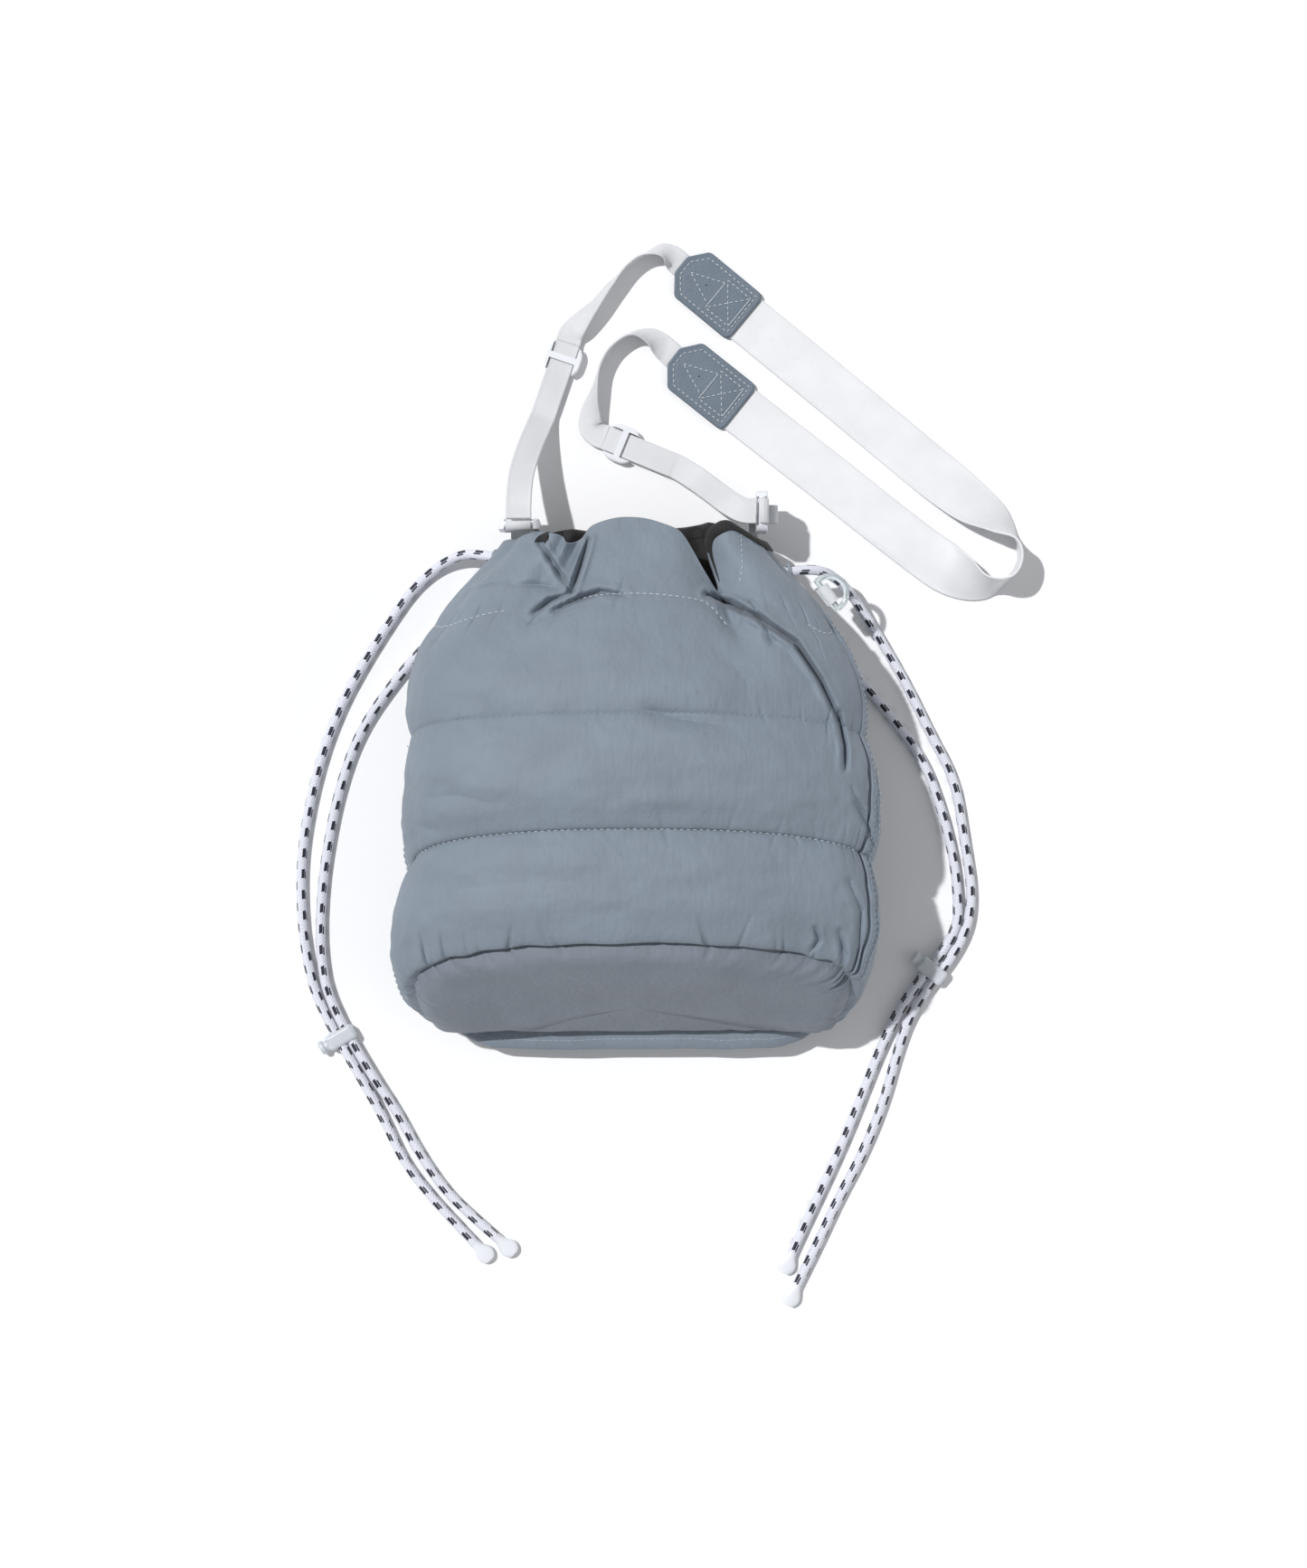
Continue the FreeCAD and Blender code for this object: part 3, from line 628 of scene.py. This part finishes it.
def around(angle, centre_degrees):
    """Signed degrees from a place round the section."""
    gap = np.degrees(angle) - centre_degrees
    return (gap + 180.0) % 360.0 - 180.0


def seam_angle(centre, t):
    """The right side seam rolls on to the front towards the base."""
    roll = 14 * smooth(t, 0.30, 0.75) if centre < 1 else 0 * t
    return centre + np.radians(roll)


def tucks(angle, gap, count, depth, reach, seed):
    """Short slanting gathers along a seam; gap is the distance from it."""
    random = np.random.default_rng(seed)
    total = 0 * angle
    for place in np.linspace(0, 360, count, endpoint=False):
        place = place + random.uniform(-0.45, 0.45) * 360 / count
        slant = random.uniform(-0.5, 0.5)
        strength = random.uniform(0.15, 1.0) ** 1.6
        long = reach * random.uniform(0.6, 1.7)
        run = np.radians(around(angle, place)) * SECTION_R - slant * gap
        total = total + strength * np.exp(-(run / 0.0011) ** 2 - (gap / long) ** 2)
    return depth * total


def wall_folds(angle, t, y, length):
    """How far seams, tucks, pleats and creasing move the wall outwards, and along it."""
    out = 0 * y
    shift = 0 * y
    for seam, fold, before, after, overhang in SEAMS:
        gap = (t - seam_place(seam, angle)) * length
        reach = np.where(gap < 0, before, after)
        out = out - fold * np.exp(-np.abs(gap) / reach)
        shift = shift - overhang * np.exp(-((gap + OVERHANG[0]) / OVERHANG[1]) ** 2)
    for seam, count, tuck_depth, reach, seed in TUCKS:
        gap = (t - seam_place(seam, angle)) * length
        near = np.exp(-np.abs(gap) / 0.0020)
        out = out - tucks(angle, gap, count, tuck_depth, reach, seed) * (1 - 0.7 * near)
    groove, groove_width = SIDE_GROOVE
    side_gap = np.radians(around(angle - seam_angle(SEAM_RIGHT, t), 3.4)) * SECTION_R
    out = out - groove * np.exp(-np.abs(side_gap) / groove_width) * smooth(t, 0.40, 0.55)
    for centre, fold, width, reach in PLEATS:
        fade = np.exp(-(t / reach) ** 2)
        spread = width * (1 + 1.2 * t / reach)
        out = out - fold * fade * bell(around(angle, centre), 0, spread)
    run = angle * NOISE_R
    taut = 1 - bell(around(angle, math.degrees(SEAM_RIGHT)), 0, 5)
    for rough, wide, move, long, slide, seed in UNEVEN:
        out = out + taut * rough * rough_field(run / wide + move, y / long + slide, seed)
    waver = WAVER * rough_field(run / 0.012 + 3, 0 * run, 41) * np.exp(-(1 - t) * 25)
    return out, shift, taut * waver


def base_seam_shift(t, low, middle, length):
    """The back's lower edge bulges past the base seam, and the front's last band overhangs it."""
    last = np.clip((t - BULGE_FROM) / (1 - BULGE_FROM), 0, 1)
    bulge = BULGE * middle * np.sin(PI * last ** 3) ** 0.8
    far, place, reach = FRONT_LIP
    return bulge, far * (1 - low) * np.exp(-(((1 - t) * length - place) / reach) ** 2)


def crease_fall(x, y):
    """How deep the front's creases are at x, y, with a soft ridge beside each."""
    fall = []
    for points, crease, width in CREASES:
        gap, along = distance_to_line(x, y, points)
        ends = np.sin(PI * np.clip(along * 0.84 + 0.10, 0, 1)) ** 0.6
        ridge = 0.24 * bell(gap, 2.6 * width, 1.5 * width)
        fall.append(ends * crease * (np.exp(-(gap / (0.95 * width)) ** 1.25) - ridge))
    return sum(fall)


def body_point(angle, t, depth=0.0):
    """The bag's side wall: angle round the section, t from mouth to base, depth inwards."""
    cosine = np.cos(angle)
    sine = np.sin(angle)
    power = np.where(sine > 0, TOP_POWER, LOW_POWER)
    side = np.sign(cosine) * np.abs(cosine) ** (2 / power)
    tall = np.sign(sine) * np.abs(sine) ** (2 / power)
    wave = 0 * angle
    for centre, distance, half_width in EDGE_WAVES:
        wave = wave + distance * bell(around(angle, centre), 0, half_width)
    rough_height = 0.055 * (1 + tall) * 0.97
    base_y = BASE_LOW_Y + BASE_SLOPE * np.maximum(rough_height, BASE_EDGE)
    y = MOUTH_LINE + (base_y - MOUTH_LINE) * t + wave * np.exp(-(t / MOUTH_FADE) ** 2)
    left, right, height = outline_at(y)
    half_width = np.where(cosine < 0, left, right)
    normal_x = np.sign(cosine) * np.abs(cosine) ** (2 - 2 / power) / half_width
    normal_z = np.sign(sine) * np.abs(sine) ** (2 - 2 / power) / (height / 2)
    size = np.hypot(normal_x, normal_z)
    length = MOUTH_LINE - base_y
    out, shift, waver = wall_folds(angle, t, y, length)
    low = np.clip(-tall, 0, 1) ** 0.7
    middle = low * (1 - smooth(np.abs(cosine), 0.42, 0.99))
    bulge, lip = base_seam_shift(t, low, middle, length)
    y = y + (shift - bulge + waver - lip)
    out = out - depth
    x = half_width * side + out * (normal_x / size)
    z = height / 2 * (1 + tall) + out * (normal_z / size)
    z = z - smooth(sine, 0.05, 0.35) * crease_fall(x, y)
    lift = BASE_EDGE * middle * smooth(t, 0.91, 1.0)
    floor = 0.0012 + depth + lift
    z = np.where(z < floor, floor + 0.1 * (z - floor), z)
    z = np.maximum(z, np.maximum(0.0006 + depth * 0.9 + lift * 0.9, TABLE_GAP))
    return np.stack([x, y, z], axis=-1)


COLUMNS = 760
ROWS = 520


def panels():
    """Front and back panel, from the mouth's rolled edge to the base seam."""
    hem = [(0.012, 0.0044), (0.004, 0.0042), (0.0005, 0.0036), (-0.0025, 0.0024),
           (-0.0025, 0.0010)]
    front = ("front_panel", "front_wadding", "channel_front")
    back = ("back_panel", "back_wadding", "channel_back")
    for name, first, last, nodes in (("bag_front", SEAM_RIGHT, SEAM_LEFT, front),
                                     ("bag_back", SEAM_LEFT, SEAM_RIGHT + 2 * PI, back)):
        angle = np.linspace(first, last, COLUMNS)
        edge = [body_point(angle, np.full(COLUMNS, t), depth) for t, depth in hem]
        angle, t = np.meshgrid(angle, np.linspace(0, 1, ROWS))
        points = np.concatenate([np.array(edge), body_point(angle, t)])
        piece = grid_mesh(name, points)
        dress(piece, M_SHELL, "shell_nylon", *nodes)


def base_ring(columns, t=1.0, depth=0.0):
    angle = np.linspace(0, 2 * PI, columns, endpoint=False)
    return body_point(angle, np.full(columns, t), depth), angle


def ring_average(ring, reach):
    """A closed ring of points with its small waves smoothed out."""
    steps = range(-reach, reach + 1)
    return sum(np.roll(ring, step, axis=0) for step in steps) / len(steps)


def base_panel():
    """The oval base: a shallow cushion inside the base seam."""
    ring, angle = base_ring(420)
    centre = ring.mean(axis=0)
    rows = 90
    reach = np.linspace(1.0, 0.0, rows)[:, None]
    across = 1 - reach
    soft = ring_average(ring, 15)
    settle = smooth(across, 0.0, 0.10)[:, :, None]
    outer = ring[None, :, :] * (1 - settle) + soft[None, :, :] * settle
    points = centre + (outer - centre) * reach[:, :, None]
    low = np.clip(-np.sin(angle), 0, 1)[None, :]
    crown = (0.0090 - 0.0012 * low * reach) * (1 - np.exp(-across / 0.045))
    run = angle[None, :] * 0.085
    edge = across * 0.045
    pucker = 0.0011 * rough_field(run / 0.006 + 20, edge / 0.02 + 5, 31) * np.exp(-edge / 0.006)
    rumple = 0.0013 * rough_field(points[:, :, 0] / 0.045 + 9, points[:, :, 2] / 0.018 + 9, 33)
    fade = smooth(across, 0.0, 0.25)
    lift = crown + pucker * smooth(across, 0.0, 0.03) + rumple * fade
    lean = math.atan(BASE_SLOPE)
    out = np.array([0.0, -math.cos(lean), math.sin(lean)])
    points = points + lift[:, :, None] * out
    piece = grid_mesh("bag_base", points, close_u=True)
    dress(piece, M_BASE, "base_nylon", "base_panel", "base_wadding")


def lining():
    """Black inside: the wall and the bottom."""
    top, bottom, inwards = 0.004, 0.90, 0.0052
    angle, t = np.meshgrid(np.linspace(0, 2 * PI, 420), np.linspace(top, bottom, 240))
    wall = grid_mesh("lining_wall", body_point(angle, t, inwards))
    ring = base_ring(260, bottom, inwards)[0]
    centre = ring.mean(axis=0)
    reach = np.linspace(1.0, 0.0, 30)[:, None, None]
    floor = grid_mesh("lining_bottom", centre + (ring - centre)[None] * reach, close_u=True)
    for piece, nodes, flat in ((wall, ("front_lining", "back_lining"), (0.64, 0.25)),
                               (floor, ("base_lining",), (0.22, 0.10))):
        dress(piece, M_BLACK, "black_lining", *nodes)


def mouth_binding():
    """Black tape folded over the mouth's edge; the front gathers roll over it."""
    profile = [(0.022, -0.0004), (0.020, -0.0010), (0.008, -0.0012), (0.001, -0.0010),
               (-0.004, 0.0010), (-0.004, 0.0032), (0.001, 0.0056), (0.010, 0.0060),
               (0.022, 0.0056)]
    angle = np.linspace(0, 2 * PI, 520, endpoint=False)
    degrees = np.degrees(angle)
    rolled = smooth(degrees, 58, 66) * (1 - smooth(degrees, 122, 130))
    rolled = rolled + 0.75 * smooth(degrees, 132, 142) * (1 - smooth(degrees, 185, 200))
    rows = []
    for t, depth in profile:
        place = t * (1 - rolled) + (0.030 + 0.5 * t) * rolled
        rows.append(body_point(angle, place, depth + 0.0036 * rolled * (depth < 0.004)))
    piece = grid_mesh("mouth_binding_tape", np.array(rows), close_u=True)
    dress(piece, M_BLACK, "black_lining", "mouth_binding", "drawcord_left_in_channel",
          "drawcord_right_in_channel")


def side_tapes():
    """Flat tape over each side seam, with a raised edge each side."""
    half_width = math.radians(3.0)
    across = np.linspace(-1, 1, 13)
    height = 0.0009 + 0.0005 * np.exp(-((np.abs(across) - 0.72) / 0.2) ** 2)
    height[[0, -1]] = -0.0004
    t = np.linspace(0.17, 0.995, 220)
    for side, centre in (("left", SEAM_LEFT), ("right", SEAM_RIGHT)):
        rows = [body_point(seam_angle(centre, t) + step * half_width, t, -lift)
                for step, lift in zip(across, height)]
        piece = grid_mesh("side_tape_" + side + "_cloth", np.array(rows).transpose(1, 0, 2))
        dress(piece, M_SHELL, "shell_nylon", "side_tape_" + side)


# --- sewing ---
def resample(points, pitch):
    """Evenly spaced points along a chain."""
    travelled = lengths_along(points)
    count = max(2, int(travelled[-1] / pitch) + 1)
    places = np.linspace(0, travelled[-1], count)
    return np.stack([np.interp(places, travelled, points[:, axis]) for axis in range(3)], axis=1)


STITCH_SIDES = 6
# how high and how thick a stitch is along it
STITCH_SHAPE = [(0.15, 0.35), (0.85, 0.9), (1.0, 1.0), (0.85, 0.9), (0.15, 0.35)]


def one_stitch(middle, up, radius, lift):
    """Rings of points along one stitch, which sinks and thins out at its ends."""
    way = middle[-1] - middle[0]
    way = way / np.linalg.norm(way)
    side = np.cross(way, up)
    points = []
    for centre, (rise, thick) in zip(middle, STITCH_SHAPE):
        centre = centre + up * (lift + radius * (rise - 0.6))
        for corner in range(STITCH_SIDES):
            turn = 2 * PI * corner / STITCH_SIDES
            spoke = side * math.cos(turn) + up * math.sin(turn)
            points.append(tuple(centre + spoke * radius * thick))
    return points


def stitches(name, lines, material, length=0.0021, gap=0.0011, radius=0.00034, lift=0.0002):
    """Rows of short stitches: each line is its points and the way out of the cloth."""
    vertices = []
    faces = []
    quads = grid_faces(len(STITCH_SHAPE), STITCH_SIDES, close_u=True, caps=True)
    for points, out in lines:
        fine = resample(points, 0.0004)
        travelled = lengths_along(fine)
        outs = np.broadcast_to(out, points.shape)
        far = lengths_along(points)
        start = 0.0
        while start + length < travelled[-1]:
            place = np.linspace(start, start + length, len(STITCH_SHAPE))
            middle = np.stack([np.interp(place, travelled, fine[:, a]) for a in range(3)], axis=1)
            up = np.array([np.interp(start + length / 2, far, outs[:, a]) for a in range(3)])
            faces += [[len(vertices) + corner for corner in quad] for quad in quads]
            vertices += one_stitch(middle, up / np.linalg.norm(up), radius, lift)
            start += length + gap
    piece = put_in_scene(name, smooth_mesh(name, vertices, faces))
    paint(piece, material)
    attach(piece, "bag")


def wall_line(angle, t, rise=0.001, raised=False):
    """A line on the bag's wall, or raised off it, and the way out of the cloth there."""
    points = body_point(angle, t)
    lifted = body_point(angle, t, -rise)
    return lifted if raised else points, (lifted - points) / rise


def seam_row(seam, first, last, offset=0.0):
    """A line along a seam, from one place round the bag to another in degrees."""
    angle = np.linspace(math.radians(first), math.radians(last), 900)
    return wall_line(angle, seam_place(seam, angle) + offset)


def long_row(centre, offset_degrees, t0, t1):
    """A line on the tape of a side seam, from mouth to base."""
    t = np.linspace(t0, t1, 500)
    angle = seam_angle(centre, t) + math.radians(offset_degrees)
    return wall_line(angle, t, 0.0016, raised=True)


def bag_sewing():
    stitches("quilt_stitches_low", [seam_row(3, -175, 184)], M_THREAD_PALE)
    channel = [seam_row(1, 128, 184), seam_row(1, 66, 108), seam_row(1, -175, 34)]
    channel.append(wall_line(np.radians(np.linspace(54, 37, 200)), np.linspace(0.125, 0.02, 200)))
    stitches("channel_stitches", channel, M_THREAD_PALE, radius=0.00026)
    stitches("quilt_stitches_high", [seam_row(2, -175, 184)], M_THREAD, radius=0.00025)
    tape = []
    for centre in (SEAM_RIGHT, SEAM_LEFT):
        tape += [long_row(centre, shift, 0.18, 0.985) for shift in (-1.7, 1.7)]
    stitches("side_tape_stitches", tape, M_THREAD, radius=0.00024, lift=0.0001)
    stitches("base_stitches", [seam_row(4, 205, 335, -0.010)], M_THREAD_PALE)


def cord_exits():
    """The whipped edge of a buttonhole, where each strand comes through the wall."""
    angle, t = np.meshgrid(np.linspace(0, 2 * PI, 900), np.linspace(0.01, 0.2, 90))
    wall = body_point(angle, t).reshape(-1, 3)
    for name, route in STRANDS.items():
        points = spline_points(route)
        gaps = [np.linalg.norm(wall - point, axis=1).min() for point in points[:40]]
        place = int(np.argmin(gaps))
        way = headings(points)[place]
        side, lift = sideways(way)
        turn = np.linspace(0, 2 * PI, 145)[:, None, None]
        round_tube = np.linspace(0, 2 * PI, 10, endpoint=False)[None, :, None]
        spoke = side * np.cos(turn) + lift * np.sin(turn)
        thick = 0.00085 + 0.00012 * np.cos(36 * turn)      # 36 turns of thread
        ring = points[place] + spoke * (CORD_D / 2 + 0.0005 + thick * np.cos(round_tube))
        ring = ring + way * thick * np.sin(round_tube)
        piece = grid_mesh("cord_exit_" + name, ring, close_u=True)
        paint(piece, M_THREAD)
        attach(piece, "bag")


panels()
base_panel()
lining()
mouth_binding()
side_tapes()
bag_sewing()
cord_exits()


# --- shoulder strap ---
DOUBLE_LEFT = [
    (-59, 133.2, 42, 0), (-59, 142, 40, 0), (-58, 156, 31, 0), (-54, 172, 17, 0),
    (-47.7, 189.1, 3.1, 0), (-46.6, 192.4, 3.1, 0), (-35.2, 225.7, 3.1, 0),
]
SINGLE_LEFT = [
    (-35.2, 225.7, 3.1, 0), (-33.8, 229.8, 3.3, 6), (-29, 236, 4.9, 36), (-22, 244, 6.2, 62),
    (-14, 254.5, 6.6, 75), (-5, 264, 6.8, 90), (3, 269.5, 6.8, 85), (11.5, 271.5, 6.0, 55),
    (18, 268.6, 2.6, 10), (21.9, 265.2, 1.4, 0), (31, 257.7, 1.4, 0),
]
DOUBLE_RIGHT = [
    (59.4, 137, 42, 0), (53, 137.4, 40.5, 0), (46, 141.5, 34, 0), (38, 148.5, 22, 0),
    (29, 156.2, 9.5, 0), (19.4, 162.6, 3.1, 0), (16.4, 163.8, 3.1, 0), (-16.3, 177.3, 3.1, 0),
]
SINGLE_RIGHT = [
    (-16.3, 177.3, 3.1, 0), (-20, 178.8, 3.1, 0), (-23.5, 182.5, 3.4, 12),
    (-24, 190, 4.8, 38), (-22, 201, 6.6, 75), (-19, 213, 6.8, 90), (-13, 223, 6.8, 90),
    (-3, 229.5, 6.6, 80), (7, 228, 4.8, 40), (13.5, 223, 2.2, 8), (18.2, 218.7, 1.4, 0),
    (27.5, 211.3, 1.4, 0),
]
WIDE_STRAP = [
    (31, 257.7, 1.4, 0), (53, 239.5, 1.4, 0), (100, 201, 1.4, 0), (147, 162, 1.4, 0),
    (168, 145, 5.6, 20), (183, 133, 11.2, 55), (191.5, 124, 13.2, 85), (193, 115, 13.3, 90),
    (188, 106, 13.3, 90), (178, 102, 12.4, 70), (163, 107, 7.2, 30), (146, 118.5, 1.4, 0),
    (98, 156, 1.4, 0), (47.8, 195.1, 1.4, 0), (27.5, 211.3, 1.4, 0),
]


def between(t, start, end, a, b):
    """The straight line that is a at start and b at end."""
    return (end - t) / (end - start) * a + (t - start) / (end - start) * b


def catmull(values, steps=14):
    """A smooth chain through the rows of values."""
    values = np.array(values, dtype=float)
    padded = np.vstack([2 * values[0] - values[1], values, 2 * values[-1] - values[-2]])
    chain = []
    for index in range(len(values) - 1):
        p0, p1, p2, p3 = padded[index:index + 4]
        gaps = [max(np.linalg.norm((b - a)[:3]) ** 0.5, 1e-6) for a, b in
                ((p0, p1), (p1, p2), (p2, p3))]
        t0, t1 = 0.0, gaps[0]
        t2 = t1 + gaps[1]
        t3 = t2 + gaps[2]
        for t in np.linspace(t1, t2, steps, endpoint=False):
            a1 = between(t, t0, t1, p0, p1)
            a2 = between(t, t1, t2, p1, p2)
            a3 = between(t, t2, t3, p2, p3)
            b1 = between(t, t0, t2, a1, a2)
            b2 = between(t, t1, t3, a2, a3)
            chain.append(between(t, t1, t2, b1, b2))
    chain.append(values[-1])
    return np.array(chain)


def tape(name, width, points, across, through, top, held, shift=0.0):
    """Webbing along the points; top is its upper face from edge to edge, the lower mirrors it."""
    half = width / 2
    profile = np.array([(-half, 0.0)] + top + [(half, 0.0)] + [(x, -z) for x, z in reversed(top)])
    travelled = lengths_along(points)
    rings = (points[:, None, :] + profile[None, :, 0, None] * across[:, None, :]
             + (profile[None, :, 1, None] + shift) * through[:, None, :])
    lowest = rings[:, :, 2].min(axis=1)
    rings[:, :, 2] += np.maximum(0.0001 - lowest, 0)[:, None]
    uv = np.stack(np.broadcast_arrays(profile[None, :, 0], travelled[:, None]), axis=2)
    piece = grid_mesh(name, rings, close_u=True, uv=uv, caps=True)
    dress(piece, M_WEBBING if width == WIDE else M_NARROW, "white_webbing")
    return piece


def ribbon(name, stations, width, shift=0.0):
    """Woven tape through stations x, y, z, roll; shift moves it along its own normal."""
    chain = catmull(stations)
    points = chain[:, :3] * 0.001
    roll = np.radians(chain[:, 3])[:, None]
    way = headings(points)
    side, lift = sideways(way)
    across = side * np.cos(roll) + lift * np.sin(roll)
    half = width / 2
    thick = WEB_T / 2
    selvedge = [(half - 0.0008, 1.05 * thick), (half - 0.0003, 0.8 * thick)]
    top = [(-x, z) for x, z in reversed(selvedge)]
    top += [(step, 0.86 * thick) for step in np.linspace(-1, 1, 11) * (half - 0.0011)]
    return tape(name, width, points, across, np.cross(across, way), top + selvedge, "laid", shift)


HOOK_LEFT = Vector((-0.059, 0.1306, 0.042))
HOOK_RIGHT = Vector((0.062, 0.137, 0.042))
FOLD_R = 0.0028
FOLD_TURN = 0.62 * PI    # how far the fold goes round the bar, up and down


def bar_fold(name, centre, across, leave):
    """Webbing turned back round a hook's bar."""
    rise = Vector((0, 0, 1))
    back = -Vector(leave)
    points = np.array([centre + back * FOLD_R * math.cos(turn) + rise * FOLD_R * math.sin(turn)
                       for turn in np.linspace(-FOLD_TURN, FOLD_TURN, 30)])
    across = np.broadcast_to(np.array(across, dtype=float), points.shape)
    half = NARROW / 2
    top = [(-half + 0.0006, WEB_T / 2), (0.0, 0.43 * WEB_T), (half - 0.0006, WEB_T / 2)]
    tape(name, NARROW, points, across, np.cross(across, headings(points)), top, "folded")


def strap():
    wide = ribbon("strap_wide", WIDE_STRAP, WIDE)
    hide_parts("webbing_wide")
    for side, single, double in (("left", SINGLE_LEFT, DOUBLE_LEFT),
                                 ("right", SINGLE_RIGHT, DOUBLE_RIGHT)):
        lone = ribbon("strap_%s_single" % side, single, NARROW)
        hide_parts("webbing_%s_single" % side)
        upper = ribbon("strap_%s_upper" % side, double, NARROW, shift=0.00064)
        ribbon("strap_%s_lower" % side, double, NARROW, shift=-0.00064)
        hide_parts("webbing_%s_doubled" % side)
    bar_fold("strap_left_fold", HOOK_LEFT, (1, 0, 0), (0, 1, 0))
    bar_fold("strap_right_fold", HOOK_RIGHT, (0, 1, 0), (-1, 0, 0))


TAB_OUTLINE = [(-21.5, 5), (-14, 14.5), (21.5, 14.5), (21.5, -14.5), (-14, -14.5), (-21.5, -5)]
TABS = {
    "upper": ((0.0385, 0.2515), -39.6),
    "lower": ((0.0350, 0.2053), -38.5),
}


def tab_place(points, at, way):
    """From a tab's own frame to the bag's."""
    turn = math.radians(way)
    x = points[:, 0] * math.cos(turn) - points[:, 1] * math.sin(turn) + at[0]
    y = points[:, 0] * math.sin(turn) + points[:, 1] * math.cos(turn) + at[1]
    return np.stack([x, y, points[:, 2]], axis=1)


def rounded_outline(corners, radius, steps=6):
    """A polygon with each corner rounded."""
    corners = [Vector(corner) for corner in corners]
    outline = []
    count = len(corners)
    for index, corner in enumerate(corners):
        before = (corners[index - 1] - corner).normalized()
        after = (corners[(index + 1) % count] - corner).normalized()
        half = before.angle(after) / 2
        reach = radius / math.tan(half)
        start = corner + before * reach
        end = corner + after * reach
        for step in range(steps + 1):
            t = step / steps
            outline.append((1 - t) ** 2 * start + 2 * t * (1 - t) * corner + t * t * end)
    return outline


def leather_piece(name, at, way, low, high, node):
    """A die cut leather patch with burnished, rounded edges."""
    outline = rounded_outline([Vector((x, y)) * 0.001 for x, y in TAB_OUTLINE], 0.0040)
    centre = sum(outline, Vector((0, 0))) / len(outline)
    tall = high - low
    profile = [(0.02, low), (0.5, low), (0.97, low),
               (1.0, low), (1.0, low), (1.0, low + 0.3 * tall), (1.0, high - 0.35 * tall),
               (0.992, high - 0.12 * tall), (0.975, high), (0.955, high + 0.00005)]
    profile += [(scale, high - 0.00012 * (1 - abs(scale - 0.84) * 5) * (scale > 0.64))
                for scale in np.linspace(0.92, 0.02, 24)]
    points = np.array([[(*(centre + (point - centre) * scale), z) for point in outline]
                       for scale, z in profile])
    placed = tab_place(points.reshape(-1, 3), at, way).reshape(points.shape)
    dress(grid_mesh(name, placed, close_u=True), M_LEATHER, "grey_leather", node)


def straight(points, at, way, z):
    """A chain of straight lines in a tab's frame, as stitch rows."""
    chain = np.array([(x * 0.001, y * 0.001, z) for x, y in points])
    return tab_place(resample(chain, 0.0005), at, way), np.array([0.0, 0.0, 1.0])


TAB_LAYERS = {"top": (0.0020, 0.0036), "under": (0.0000, 0.0008)}
TAB_BORDER = [(x * 0.86, y * 0.80) for x, y in TAB_OUTLINE + TAB_OUTLINE[:1]]
TAB_BOX = [(2, 9), (17, 9), (17, -9), (2, -9), (2, 9), (17, -9), (17, 9), (2, -9)]
TAB_ARROW = [(-15, 0), (2, 7), (2, -7), (-15, 0)]


def leather_tabs():
    for name, (at, way) in TABS.items():
        for layer, (low, high) in TAB_LAYERS.items():
            leather_piece("tab_%s_%s" % (name, layer), at, way, low, high,
                          "leather_tab_%s_%s" % (name, layer))
        rows = [straight(row, at, way, TAB_LAYERS["top"][1])
                for row in (TAB_BORDER, TAB_BOX, TAB_ARROW)]
        stitches("tab_%s_stitches" % name, rows, M_THREAD_PALE, length=0.0019, gap=0.0009,
                 radius=0.0003)


strap()
leather_tabs()


# --- CAD parts that keep their shape ---
PAIRS = {
    "cord_lock_%s": M_MILKY, "lock_button_%s": M_MILKY, "lock_spring_%s": M_SPRING,
    "drawcord_%s_in_channel": M_CORD, "slider_%s": M_PLASTIC, "hook_%s": M_PLASTIC,
    "hook_gate_%s": M_PLASTIC, "strap_loop_%s": M_LOOP,
}
for pattern, material in PAIRS.items():
    for side in ("left", "right"):
        paint_node(pattern % side, material)
paint_node("clear_ring", M_CLEAR)
paint_node("ring_tab", M_LOOP)


# --- table, light and camera ---
TABLE_Z = 0.0
TABLE_REACH = 6.0
CAMERA_HEIGHT = 1.8
SENSOR = 24
VIEW_TALL = 0.7976       # how much of the table the picture is tall
VIEW_CENTRE = (0.00805, 0.0014)


def table_top():
    mesh = bpy.data.meshes.new("table")
    corners = [(x * TABLE_REACH, y * TABLE_REACH, TABLE_Z)
               for x, y in ((-1, -1), (1, -1), (1, 1), (-1, 1))]
    mesh.from_pydata(corners, [], [(0, 1, 2, 3)])
    floor = put_in_scene("table", mesh)
    shader = Shader("table_white", (0.92, 0.92, 0.92), 0.8, {"Specular IOR Level": 0.1})
    shader.colour(shader.ramp(shader.noise(3, 2), [(0.0, (0.865, 0.865, 0.875)),
                                                   (1.0, (0.875, 0.875, 0.885))]))
    paint(floor, shader.material)


def sun(name, energy, spread, direction, shadow=True):
    """A sun lamp; spread is its angle in degrees."""
    data = bpy.data.lights.new(name, "SUN")
    data.energy = energy
    data.angle = math.radians(spread)
    data.use_shadow = shadow
    lamp = put_in_scene(name, data)
    lamp.rotation_euler = Vector(direction).to_track_quat("-Z", "Y").to_euler()


def lights():
    sun("key", 2.85, 1.6, (0.52, -0.32, -1.0))
    sun("fill", 0.5, 60, (-1.0, 0.25, -0.55), shadow=False)
    world = bpy.data.worlds.new("studio")
    world.use_nodes = True
    background = world.node_tree.nodes["Background"]
    background.inputs["Color"].default_value = (0.97, 0.98, 1.0, 1)
    background.inputs["Strength"].default_value = 0.36
    bpy.context.scene.world = world


def camera():
    data = bpy.data.cameras.new("camera")
    data.sensor_fit = "VERTICAL"
    data.sensor_height = SENSOR
    data.lens = SENSOR * CAMERA_HEIGHT / VIEW_TALL
    data.clip_end = 50
    eye = put_in_scene("camera", data)
    eye.location = (*VIEW_CENTRE, CAMERA_HEIGHT)
    bpy.context.scene.camera = eye


table_top()
lights()
camera()
bpy.context.scene.view_settings.view_transform = "Standard"
